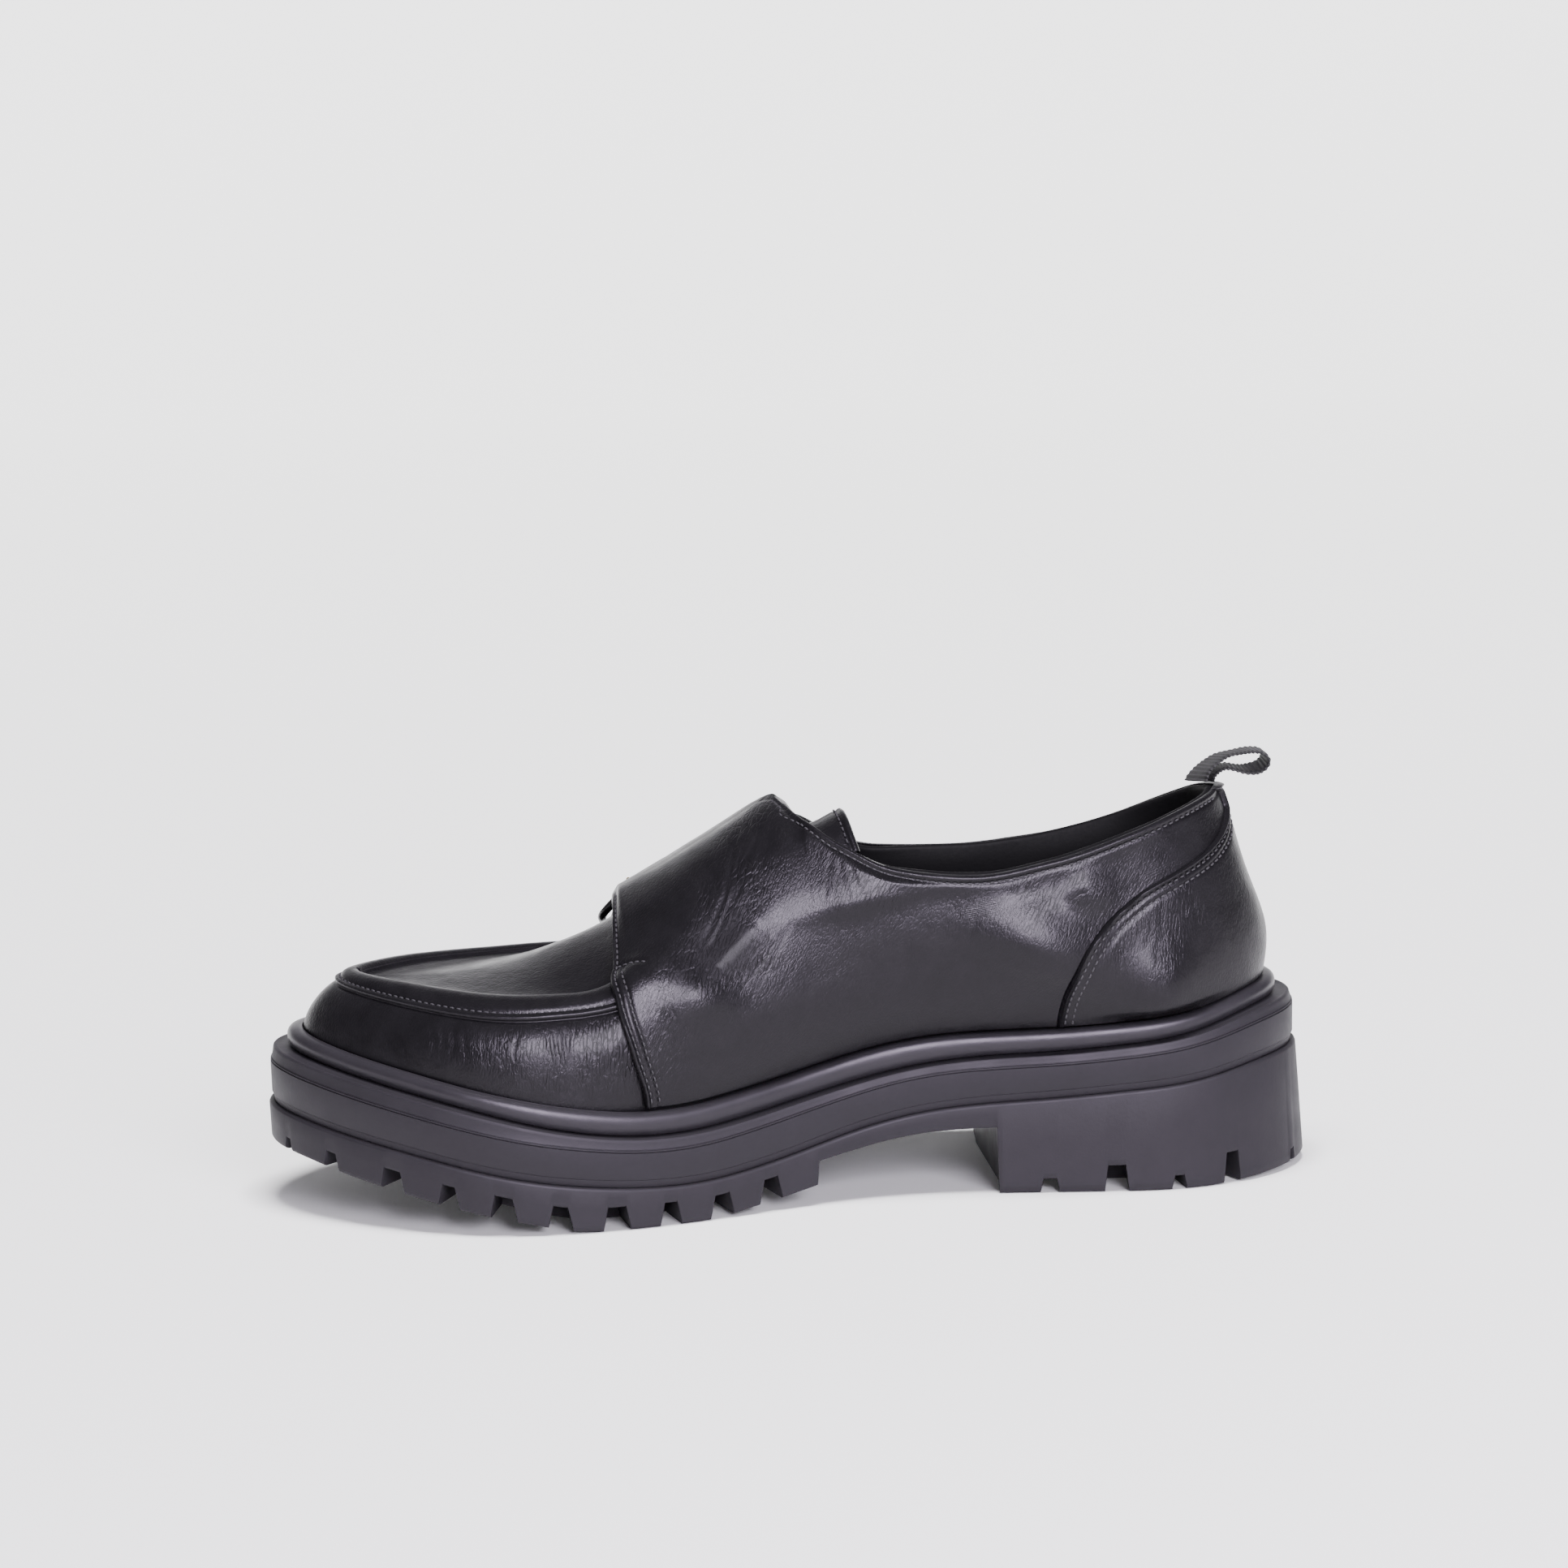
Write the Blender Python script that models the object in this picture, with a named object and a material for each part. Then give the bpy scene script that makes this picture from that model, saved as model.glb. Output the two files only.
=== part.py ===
"""Buckle derby shoe, right foot, in metres: toe along -X, medial side along -Y, Z up, floor at Z = 0.

The sole is a stack of tiers on one outline. The upper is one function of three numbers: the section
(0 at the toe tip to 17 at the heel back), the way up it (0 at the welt to 1 at the ridge or the
collar) and the side. The quarters, the strap flap and the heel counter are cut from that function.
"""

import bmesh
import bpy
import numpy as np

# Overall sizes, millimetres
SOLE_LENGTH = 278.0
HEEL_START = 2.6
TOE_END = 277.0
HEEL_ROUND = 46.0
TOE_ROUND = 75.0
CENTRE_X = 0.15
CENTRE_Y = 0.55
GAP = 0.3
OVERLAY_GAP = 0.62
HEEL_BREAST = 86.0
HEEL_FLAT = 29.0
HEEL_FLARE = 0.5
HEEL_SWEEP = 1.6
HEEL_SWEEP_LENGTH = 24.0
WAIST_END = 133.5
BALL_FLAT = (163.0, 192.0)
FOREFOOT_FLARE = 0.2
EDGE_BEVEL = 0.9
EDGE_BEVEL_RISE = 1.2
NOTCH_REACH = (-6.0, 13.0)
UPPER_WALL = 2.0
QUARTER_WALL = 1.4
COUNTER_WALL = 2.1
FEATHER_FRONT = 7.5
FEATHER_REAR = 8.8
INSOLE_THICK = 4.2
INSOLE_DISH = 0.8
INSOLE_DISH_IN = 6.0
TONGUE_WALL = 2.4
LOOP_WIDTH = 10.0
LOOP_WALL = 1.1
MEDIAL = -1
LATERAL = 1
LAST = 17.0
RIDGE_END = 8.0
THROAT_TIP = 5.3

# Half widths of the sole: distance from the heel back, medial, lateral
PLAN = np.array([
    (0, 33.0, 33.0),
    (45, 33.0, 34.0),
    (85, 29.5, 35.0),
    (110, 29.0, 37.0),
    (135, 34.0, 41.0),
    (160, 43.0, 46.5),
    (185, 50.0, 51.0),
    (205, 52.0, 53.0),
    (225, 51.5, 53.0),
    (250, 48.0, 49.0),
    (278, 43.0, 39.0),
])

# Heights of the sole: distance from the heel back, lug, base, split, ledge, step, feather
LEVELS = np.array([
    (0, 2.2, 17.6, 33.0, 44.0, 46.5, 51.5),
    (15, 0.9, 17.6, 32.0, 42.6, 45.1, 49.6),
    (30, 0.0, 17.6, 29.4, 39.3, 41.6, 46.4),
    (50, 0.0, 17.6, 27.2, 36.5, 38.7, 44.1),
    (70, 0.0, 17.6, 25.5, 34.8, 37.0, 42.7),
    (87, 0.0, 17.6, 24.4, 34.0, 36.2, 42.1),
    (107, 15.0, 16.6, 22.3, 32.2, 34.2, 40.7),
    (125, 8.5, 13.4, 18.5, 28.6, 30.7, 37.2),
    (138, 4.3, 10.6, 15.0, 25.5, 27.8, 34.0),
    (152, 1.6, 7.8, 12.0, 22.5, 25.0, 31.2),
    (163, 0.0, 6.2, 10.6, 20.8, 23.5, 29.6),
    (178, 0.0, 6.0, 10.6, 20.5, 23.3, 29.3),
    (192, 0.0, 6.8, 11.8, 21.9, 24.8, 30.8),
    (210, 3.0, 9.5, 14.4, 24.9, 28.4, 34.0),
    (225, 6.0, 12.2, 17.3, 28.0, 31.9, 36.9),
    (240, 9.3, 14.9, 20.4, 31.2, 35.1, 39.9),
    (255, 12.5, 16.9, 23.1, 34.2, 38.0, 42.7),
    (268, 15.4, 18.6, 25.5, 36.8, 40.4, 45.1),
    (278, 16.8, 19.8, 27.2, 38.6, 42.0, 46.8),
])
LUG, BASE, SPLIT, LEDGE, STEP, FEATHER = range(1, 7)

# Profile of the midsole's side: distance in from the outline, tier, height over it
MIDSOLE_SIDE = [
    (1.2, SPLIT, GAP),
    (0.3, SPLIT, 1.9),
    (0.2, LEDGE, -0.4),
    (0.6, LEDGE, 0.0),
    (1.2, LEDGE, 0.2),
    (1.5, STEP, -0.5),
    (2.0, STEP, 0.0),
]

# Round of the welt: distance in from the outline, share of its height
WELT_ROUND = [
    (4.7, 0.0),
    (4.0, 0.5),
    (5.2, 0.93),
    (6.4, 1.0),
]

# Edge lugs: distance from the heel back, width at the floor, width at the root, height of the notch
NOTCHES = [
    (7.0, 2.6, 1.6, 3.2),
    (24.0, 5.0, 3.4, 8.0),
    (38.5, 4.0, 2.4, 3.6),
    (55.0, 6.4, 4.6, 7.0),
    (72.5, 5.0, 3.4, 3.6),
    (146.5, 6.4, 3.6, 6.2),
    (159.5, 6.6, 3.8, 6.0),
    (173.0, 5.8, 3.2, 6.0),
    (187.0, 7.2, 4.6, 6.2),
    (201.5, 6.4, 3.6, 6.0),
    (216.0, 7.0, 4.4, 6.0),
    (230.0, 5.8, 3.2, 5.6),
    (244.5, 7.0, 4.6, 5.4),
    (260.5, 5.0, 3.0, 4.2),
    (272.0, 3.0, 1.8, 3.0),
]

# Sections of the upper, one row each: where it leaves the sole and where it ends, from the heel back;
# medial and lateral end (sideways, height); then four stages up the wall (distance in, height)
SECTIONS = np.array([
    (277.0, 243.0, -2.5, 58.8, -2.5, 58.8, 2.5, 52.0, 9.3, 58.2, 15.5, 59.2, 19.5, 58.9),
    (269.5, 238.5, -2.4, 58.8, -2.4, 58.8, 2.3, 50.8, 8.4, 57.6, 15.0, 59.0, 19.5, 58.7),
    (250.0, 229.0, -2.0, 59.0, -2.0, 59.0, 1.7, 48.3, 7.4, 55.9, 15.0, 58.6, 20.0, 58.3),
    (222.0, 214.0, -1.0, 60.7, -1.0, 60.7, 1.0, 45.3, 6.3, 53.8, 15.0, 57.4, 20.5, 57.7),
    (201.0, 199.5, 0.0, 65.3, 0.0, 65.3, 0.8, 43.0, 6.0, 53.8, 14.5, 57.2, 20.5, 58.8),
    (187.0, 187.0, 0.5, 70.5, 0.5, 70.5, 0.5, 43.0, 5.6, 54.8, 13.5, 59.2, 20.5, 63.2),
    (174.0, 175.0, 0.5, 78.2, 0.5, 78.2, -0.6, 44.0, 2.6, 58.0, 10.0, 67.5, 19.5, 74.0),
    (158.0, 158.0, 0.3, 89.2, 0.3, 89.2, -2.2, 45.5, 0.2, 60.5, 6.0, 74.5, 14.5, 84.0),
    (142.0, 141.0, 0.0, 98.7, 0.0, 98.7, -3.7, 48.0, -3.0, 63.0, 1.2, 79.5, 9.0, 91.5),
    (133.0, 134.0, -14.0, 98.0, 15.0, 95.0, -4.1, 49.5, -4.2, 63.0, -1.6, 78.0, 4.0, 90.0),
    (124.0, 123.5, -21.3, 92.6, 23.0, 87.0, -4.5, 51.0, -5.3, 63.0, -4.4, 75.0, -1.8, 85.5),
    (110.0, 111.0, -24.8, 87.5, 27.0, 83.4, -4.5, 52.0, -6.1, 62.0, -6.2, 72.0, -5.0, 80.5),
    (90.0, 90.0, -26.4, 85.4, 28.0, 83.0, -4.2, 53.0, -6.0, 62.0, -6.2, 71.0, -5.4, 79.0),
    (70.0, 70.0, -25.8, 88.5, 27.5, 84.8, -3.4, 53.0, -4.6, 62.0, -4.4, 72.0, -3.4, 81.0),
    (48.0, 48.5, -22.6, 94.7, 25.0, 90.0, -1.8, 54.0, -2.1, 64.0, -0.8, 75.0, 1.2, 86.0),
    (27.0, 35.0, -16.4, 99.0, 18.5, 96.0, -1.0, 56.0, -0.6, 66.0, 1.4, 77.5, 4.0, 89.0),
    (9.0, 27.0, -8.0, 101.3, 9.5, 100.4, -0.9, 58.0, 0.2, 68.0, 3.4, 80.0, 6.8, 92.0),
    (2.6, 24.0, 0.0, 102.0, 0.0, 102.0, -1.2, 60.0, 0.6, 69.5, 4.9, 81.0, 8.0, 92.0),
])
STAGES = np.array([0.0, 0.20, 0.42, 0.60, 0.76, 1.0, 1.24])
RIDGE_DRIFT = np.array([0.0, 0.05, 0.12, 0.33, 0.52, 1.0, 1.48])
COLLAR_DRIFT = np.array([0.0, 0.20, 0.42, 0.60, 0.80, 1.0, 1.20])

# Raised moccasin seam of the toe: way up, height over the wall
MOC_SEAM = np.array([
    (0.40, 0.0),
    (0.415, 0.0),
    (0.425, 1.3),
    (0.51, 2.1),
    (0.59, 1.5),
    (0.62, 0.0),
    (0.64, 0.0),
])
MOC_END = 5.0

# Throat: section, way up where the leather stops
THROAT = np.array([
    (0.0, 1.0),
    (5.3, 1.0),
    (6.0, 0.935),
    (7.0, 0.885),
    (8.0, 0.85),
    (8.5, 0.87),
    (9.0, 0.94),
    (9.7, 1.0),
    (17.0, 1.0),
])

# Front edge of the quarters and edge of the heel counter: way up, section
FRONT_EDGE = np.array([
    (0.0, 5.78),
    (0.2, 5.50),
    (0.42, 5.26),
    (0.6, 5.22),
    (0.76, 5.28),
    (1.0, 5.43),
])
COUNTER_EDGE = np.array([
    (0.0, 13.00),
    (0.2, 13.08),
    (0.42, 13.28),
    (0.55, 13.55),
    (0.64, 14.00),
    (0.69, 14.70),
    (0.73, 15.50),
    (0.78, 16.10),
    (0.85, 16.50),
    (0.93, 16.50),
    (1.0, 16.20),
])

# Rise of the strap flap over the instep: section, clearance at the ridge
FLAP_RISE = np.array([
    (5.43, 3.2),
    (5.65, 4.6),
    (6.0, 3.8),
    (6.5, 2.7),
    (7.0, 2.4),
    (7.5, 2.3),
    (8.0, 2.7),
    (9.2, 2.2),
])
STRAP_LAYER = OVERLAY_GAP + QUARTER_WALL + OVERLAY_GAP
STRAP_SPLIT = 0.86
STRAP_TIP = 0.34
STRAP_ROUND = 0.07
REAR_STRAP = (7.1, 8.0)
REAR_STRAP_SLANT = (5.8, 7.0)
SLANT_STOP = 0.65
BUCKLE_LONG = 9.0
BUCKLE_OVER = 2.4
BUCKLE_CORNER = 0.45
BUCKLE_ROD = 1.15
PIN_ROD = 0.85

# Buckles: name, first and last section of the strap under it, way up, tilt in degrees
BUCKLES = [
    ("front", 5.43, 6.42, 0.55, 0.0),
    ("rear", 9.0, 10.3, 0.66, 40.0),
]

# Centre line of the tongue behind the throat: distance from the heel back, height
TONGUE_LINE = np.array([(136.0, 95.0), (131.0, 95.3), (127.0, 97.2), (122.9, 99.3)])

# Pull loop, along the tape: near edge and far edge (distance from the heel back, height)
LOOP_LINE = np.array([
    (25.3, 102.9, 29.6, 101.5),
    (24.9, 104.2, 28.8, 103.0),
    (23.8, 106.2, 26.9, 105.0),
    (21.2, 108.3, 24.3, 106.9),
    (18.8, 109.6, 21.6, 108.3),
    (16.0, 110.1, 18.3, 109.0),
    (13.2, 110.3, 14.3, 109.8),
    (10.9, 110.1, 11.5, 109.9),
    (9.1, 109.2, 9.8, 109.5),
    (8.3, 107.7, 9.0, 108.3),
    (8.9, 106.0, 9.4, 107.1),
    (10.5, 104.8, 10.8, 106.0),
    (12.4, 104.4, 13.2, 105.4),
    (14.9, 104.7, 15.0, 105.2),
    (17.4, 105.5, 17.2, 105.5),
    (19.9, 106.0, 19.4, 105.8),
    (21.6, 105.4, 22.2, 105.0),
    (22.9, 104.2, 25.0, 103.6),
    (23.3, 102.9, 27.2, 101.7),
])


# Interpolation

def spline(knots, values, at, flat_ends=False):
    """Smooth cubic through the values, with free or flat ends."""
    values = np.asarray(values, float)
    at = np.asarray(at, float)
    span = np.diff(knots)
    count = len(knots)
    wide = span.reshape((-1,) + (1,) * (values.ndim - 1))
    slope = np.diff(values, axis=0) / wide
    matrix = np.zeros((count, count))
    right = np.zeros_like(values)
    for i in range(1, count - 1):
        matrix[i, i - 1] = span[i - 1]
        matrix[i, i] = 2 * (span[i - 1] + span[i])
        matrix[i, i + 1] = span[i]
        right[i] = 6 * (slope[i] - slope[i - 1])
    if flat_ends:
        matrix[0, :2] = 2 * span[0], span[0]
        matrix[-1, -2:] = span[-1], 2 * span[-1]
        right[0] = 6 * slope[0]
        right[-1] = -6 * slope[-1]
    else:
        matrix[0, 0] = 1
        matrix[-1, -1] = 1
    bend = np.linalg.solve(matrix, right.reshape(count, -1)).reshape(values.shape)
    cell = np.clip(np.searchsorted(knots, at) - 1, 0, count - 2)
    shape = at.shape + (1,) * (values.ndim - 1)
    along = (at - knots[cell]).reshape(shape)
    width = span[cell].reshape(shape)
    start = slope[cell] - width * (2 * bend[cell] + bend[cell + 1]) / 6
    turn = (bend[cell + 1] - bend[cell]) / (6 * width)
    return values[cell] + along * (start + along * (bend[cell] / 2 + along * turn))


def steady(knots, values, at):
    """Cubic through the values that never overshoots them."""
    values = np.asarray(values, float)
    span = np.diff(knots)
    slope = np.diff(values) / span
    same = slope[1:] * slope[:-1] > 0
    total = np.where(same, slope[1:] + slope[:-1], 1)
    inner = np.where(same, 2 * slope[1:] * slope[:-1] / total, 0)
    rate = np.concatenate([[0], inner, [0]])
    cell = np.clip(np.searchsorted(knots, at) - 1, 0, len(knots) - 2)
    t = (at - knots[cell]) / span[cell]
    keep = 2 * t ** 3 - 3 * t ** 2 + 1
    leave = (t ** 3 - 2 * t ** 2 + t) * span[cell]
    arrive = (t ** 3 - t ** 2) * span[cell]
    ends = values[cell] * keep + values[cell + 1] * (1 - keep)
    return ends + rate[cell] * leave + rate[cell + 1] * arrive


def ramp(low, high, value):
    """Soft step from 0 to 1."""
    t = np.clip((value - low) / (high - low), 0, 1)
    return t * t * (3 - 2 * t)


# Sole outline and tiers

def outline(u, side):
    """Sideways place of the sole edge at a distance u from the heel back."""
    widths = spline(PLAN[:, 0], PLAN[:, 1:], u)
    centre = (widths[..., 1] - widths[..., 0]) / 2
    half = (widths[..., 1] + widths[..., 0]) / 2
    heel = np.clip(1 - (u - HEEL_START) / HEEL_ROUND, 0, 1)
    toe = np.clip((u - TOE_END + TOE_ROUND) / TOE_ROUND, 0, 1)
    round_off = np.sqrt(np.clip(1 - heel ** 2, 0, 1) * np.clip(1 - toe ** 2, 0, 1))
    return centre + side * half * round_off


def level(u, tier):
    return spline(LEVELS[:, 0], LEVELS[:, tier], u)


def edge(u, inset, side):
    """Point of the outline moved in by the inset, and the inward direction there."""
    u = np.asarray(u, float)
    low = np.clip(u - 0.01, HEEL_START, TOE_END)
    high = np.clip(u + 0.01, HEEL_START, TOE_END)
    slope = (outline(high, side) - outline(low, side)) / (high - low)
    slope = np.where(u < HEEL_START + 0.005, side * 1e6, slope)
    slope = np.where(u > TOE_END - 0.005, -side * 1e6, slope)
    size = np.sqrt(1 + slope ** 2)
    in_u = side * slope / size
    in_y = -side / size
    reach = inset * (1 + 0.25 * in_u ** 2)
    return u + reach * in_u, outline(u, side) + reach * in_y, in_u, in_y


def place(u, y, z):
    """Shoe sizes to the shared frame."""
    return np.stack(np.broadcast_arrays(SOLE_LENGTH / 2 - u - CENTRE_X, y - CENTRE_Y, z), -1) / 1000


def stations(count, extra=()):
    spread = HEEL_START + (TOE_END - HEEL_START) * (1 - np.cos(np.linspace(0, np.pi, count))) / 2
    keep = [v for v in spread if all(abs(v - e) > 2.5 for e in extra)]
    return np.array(sorted(keep + list(extra)))


def ring(u, inset, height):
    """Closed loop of the outline: heel back, medial side, toe tip, lateral side."""
    mu, my, _, _ = edge(u, inset, MEDIAL)
    lu, ly, _, _ = edge(u[1:-1], np.broadcast_to(inset, u.shape)[1:-1], LATERAL)
    z = np.broadcast_to(height, u.shape)
    return np.concatenate([place(mu, my, z), place(lu, ly, z[1:-1])[::-1]])


# Making solids

def make(name, points, faces, colour, metallic=0.0, roughness=0.6):
    mesh = bpy.data.meshes.new(name)
    mesh.from_pydata([tuple(p) for p in points], [], faces)
    body = bmesh.new()
    body.from_mesh(mesh)
    bmesh.ops.recalc_face_normals(body, faces=body.faces)
    bmesh.ops.triangulate(body, faces=body.faces)
    body.to_mesh(mesh)
    body.free()
    thing = bpy.data.objects.new(name, mesh)
    bpy.context.scene.collection.objects.link(thing)
    material = bpy.data.materials.new(name)
    material.use_nodes = True
    shader = material.node_tree.nodes["Principled BSDF"]
    shader.inputs["Base Color"].default_value = (*colour, 1)
    shader.inputs["Metallic"].default_value = metallic
    shader.inputs["Roughness"].default_value = roughness
    mesh.materials.append(material)
    return thing


def ladder(loop, start):
    """Faces across a closed loop, rung by rung from heel to toe."""
    rungs = loop // 2
    faces = [(start, start + 1, start + loop - 1)]
    for i in range(1, rungs - 1):
        faces.append((start + i, start + i + 1, start + loop - i - 1, start + loop - i))
    faces.append((start + rungs - 1, start + rungs, start + rungs + 1))
    return faces


def band(loop, low, high):
    return [(low + i, low + (i + 1) % loop, high + (i + 1) % loop, high + i) for i in range(loop)]


def stack(name, rings, colour, roughness):
    """Solid between the first and last of a stack of loops."""
    loop = len(rings[0])
    faces = ladder(loop, 0) + ladder(loop, loop * (len(rings) - 1))
    for k in range(len(rings) - 1):
        faces += band(loop, loop * k, loop * (k + 1))
    return make(name, np.concatenate(rings), faces, colour, 0.0, roughness)


def hoop(name, rings, colour, roughness):
    """Solid ring whose profile is the list of loops, closed on itself."""
    loop = len(rings[0])
    faces = []
    for k in range(len(rings)):
        faces += band(loop, loop * k, loop * ((k + 1) % len(rings)))
    return make(name, np.concatenate(rings), faces, colour, 0.0, roughness)


def thick_grid(name, outer, inner, colour, roughness):
    """Solid between two grids of points."""
    rows, columns = outer.shape[:2]
    total = rows * columns
    index = np.arange(total).reshape(rows, columns)
    faces = []
    for i in range(rows - 1):
        for j in range(columns - 1):
            quad = (index[i, j], index[i + 1, j], index[i + 1, j + 1], index[i, j + 1])
            faces.append(quad)
            faces.append(tuple(total + k for k in reversed(quad)))
    border = list(index[0]) + list(index[1:, -1]) + list(index[-1, -2::-1]) + list(index[-2:0:-1, 0])
    for a, b in zip(border, border[1:] + border[:1]):
        faces.append((a, b, total + b, total + a))
    points = np.concatenate([outer.reshape(-1, 3), inner.reshape(-1, 3)])
    return make(name, points, faces, colour, 0.0, roughness)


def tube(name, path, ups, radius, closed, colour, metallic, roughness):
    """Round rod along a path."""
    around = 6
    ahead = np.roll(path, -1, 0) - np.roll(path, 1, 0)
    if not closed:
        ahead[0] = path[1] - path[0]
        ahead[-1] = path[-1] - path[-2]
    ahead /= np.linalg.norm(ahead, axis=1)[:, None]
    across = np.cross(ahead, ups)
    across /= np.linalg.norm(across, axis=1)[:, None]
    ups = np.cross(across, ahead)
    turn = np.linspace(0, 2 * np.pi, around, endpoint=False)
    wide = np.broadcast_to(radius, len(path))[:, None, None] / 1000
    spoke = np.cos(turn)[:, None] * across[:, None] + np.sin(turn)[:, None] * ups[:, None]
    points = path[:, None] + wide * spoke
    faces = []
    for k in range(len(path) if closed else len(path) - 1):
        faces += band(around, around * k, around * ((k + 1) % len(path)))
    if not closed:
        faces.append(tuple(range(around)))
        faces.append(tuple(range(around * (len(path) - 1), around * len(path))))
    return make(name, points.reshape(-1, 3), faces, colour, metallic, roughness)


# The upper's own function

def feather_inset(foot):
    return FEATHER_FRONT + (FEATHER_REAR - FEATHER_FRONT) * ramp(0, 1, (186.0 - foot) / 16.0)


def section(s):
    """Foot, end and stages of section s."""
    rows = np.arange(len(SECTIONS))
    foot = np.clip(spline(rows, SECTIONS[:, 0], s, True), HEEL_START, TOE_END)
    ends = np.stack([steady(rows, SECTIONS[:, k], s) for k in range(1, 6)], -1)
    stages = spline(rows, SECTIONS[:, 6:], s, True)
    return foot, ends, stages


def wall(s, w, side):
    """Point of the upper's outer face, millimetres."""
    s, w = np.broadcast_arrays(np.asarray(s, float), np.asarray(w, float))
    foot, ends, stages = section(s)
    u, y, in_u, in_y = edge(foot, feather_inset(foot), side)
    z = level(foot, FEATHER)
    medial_u, medial_y, medial_in_u, medial_in_y = edge(foot, feather_inset(foot), MEDIAL)
    reach_medial = (ends[..., 0] - medial_u) * medial_in_u + (ends[..., 1] - medial_y) * medial_in_y
    pick = 1 if side == MEDIAL else 3
    top_u, top_y, top_z = ends[..., 0], ends[..., pick], ends[..., pick + 1]
    reach = (top_u - u) * in_u + (top_y - y) * in_y
    drift_u = top_u - u - reach * in_u
    drift_y = top_y - y - reach * in_y
    collar = ramp(7.6, 9.4, s)
    stage_in = stages[..., 0::2]
    stage_z = stages[..., 1::2]
    share = (stage_z - z[..., None]) / (ends[..., 2] - z)[..., None]
    lean = np.where(side == MEDIAL, 0, reach - reach_medial)
    stage_in = stage_in + lean[..., None] * share
    stage_z = z[..., None] + share * (top_z - z)[..., None]
    past_in = 2 * reach - stage_in[..., 3]
    past_z = stage_z[..., 3] + collar * 2 * (top_z - stage_z[..., 3])
    across = np.concatenate([0 * z[..., None], stage_in, reach[..., None], past_in[..., None]], -1)
    up = np.concatenate([z[..., None], stage_z, top_z[..., None], past_z[..., None]], -1)
    drift = RIDGE_DRIFT + collar[..., None] * (COLLAR_DRIFT - RIDGE_DRIFT)
    share_of = spline(STAGES, np.eye(len(STAGES)), np.clip(w, 0, 1))
    inward = (share_of * across).sum(-1)
    height = (share_of * up).sum(-1)
    along = (share_of * drift).sum(-1)
    below = np.clip(-w, 0, 1)
    height = height - below * (z - level(foot, STEP) - GAP)
    return np.stack([u + inward * in_u + along * drift_u, y + inward * in_y + along * drift_y, height], -1)


def outward(s, w, side):
    """Outward direction of the upper's face."""
    s, w = np.broadcast_arrays(np.asarray(s, float), np.asarray(w, float))
    d = 0.004
    level_w = np.clip(w, 0, 1)
    along = wall(np.clip(s + d, 0, LAST), level_w, side) - wall(np.clip(s - d, 0, LAST), level_w, side)
    upward = wall(s, np.clip(level_w + d, 0, 1), side) - wall(s, np.clip(level_w - d, 0, 1), side)
    n = np.cross(along, upward) * side
    flat = ramp(0.80, 1.0, w) * (s <= RIDGE_END + 1e-6)
    n *= np.where((flat > 0.5) & (n[..., 2] < 0), -1, 1)[..., None]
    n[..., 1] *= 1 - flat
    n[..., 2] *= 1 - ramp(0.0, 0.06, 0.06 - level_w)
    return n / np.linalg.norm(n, axis=-1, keepdims=True)


def skin(s, w, side, lift):
    """Point at a height over the upper's outer face, in the shared frame."""
    p = wall(s, w, side) + np.asarray(lift)[..., None] * outward(s, w, side)
    return place(p[..., 0], p[..., 1], p[..., 2])


def grid_cells(side, s_grid, w_grid, skip=None):
    """Corners (side, section, way up) of each cell of a grid."""
    cells = []
    for i in range(s_grid.shape[0] - 1):
        for j in range(s_grid.shape[1] - 1):
            if skip is not None and skip[i, j]:
                continue
            corners = [(i, j), (i + 1, j), (i + 1, j + 1), (i, j + 1)]
            cells.append([(side, float(s_grid[c]), float(w_grid[c])) for c in corners])
    return cells


def sheet(name, cells, lift_low, lift_high, colour, roughness):
    """Closed leather sheet over cells of the upper's function, between two lifts."""
    keys = {}
    quads = []
    for cell in cells:
        quad = []
        for side, s, w in cell:
            shared = s <= 1e-6 or s >= LAST - 1e-6 or (w >= 1 - 1e-6 and s <= RIDGE_END + 1e-6)
            key = (0 if shared else side, round(s, 6), round(w, 6))
            if key not in keys:
                keys[key] = (len(keys), side, s, w)
            if keys[key][0] not in quad:
                quad.append(keys[key][0])
        if len(quad) > 2:
            quads.append(quad)
    listed = sorted(keys.values())
    count = len(listed)
    sides = np.array([v[1] for v in listed])
    s = np.array([v[2] for v in listed])
    w = np.array([v[3] for v in listed])
    high = np.zeros((count, 3))
    low = np.zeros((count, 3))
    for side in (MEDIAL, LATERAL):
        own = sides == side
        if own.any():
            high[own] = skin(s[own], w[own], side, lift_high(s[own], w[own], side))
            low[own] = skin(s[own], w[own], side, lift_low(s[own], w[own], side))
    edges = {}
    for quad in quads:
        for a, b in zip(quad, quad[1:] + quad[:1]):
            edges.setdefault((min(a, b), max(a, b)), []).append((a, b))
    faces = [tuple(q) for q in quads]
    faces += [tuple(count + k for k in reversed(q)) for q in quads]
    faces += [(u[0][0], u[0][1], count + u[0][1], count + u[0][0]) for u in edges.values() if len(u) == 1]
    return make(name, np.concatenate([high, low]), faces, colour, 0.0, roughness)


# Clearing the scene

for old in list(bpy.data.objects):
    bpy.data.objects.remove(old)

RUBBER = (0.035, 0.034, 0.037)
LEATHER = (0.012, 0.012, 0.013)
LINING = (0.03, 0.03, 0.032)
METAL = (0.02, 0.02, 0.02)
GOLD = (0.75, 0.55, 0.22)

# Outsole: flared heel, arch, rocker forefoot, edge lugs

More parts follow.
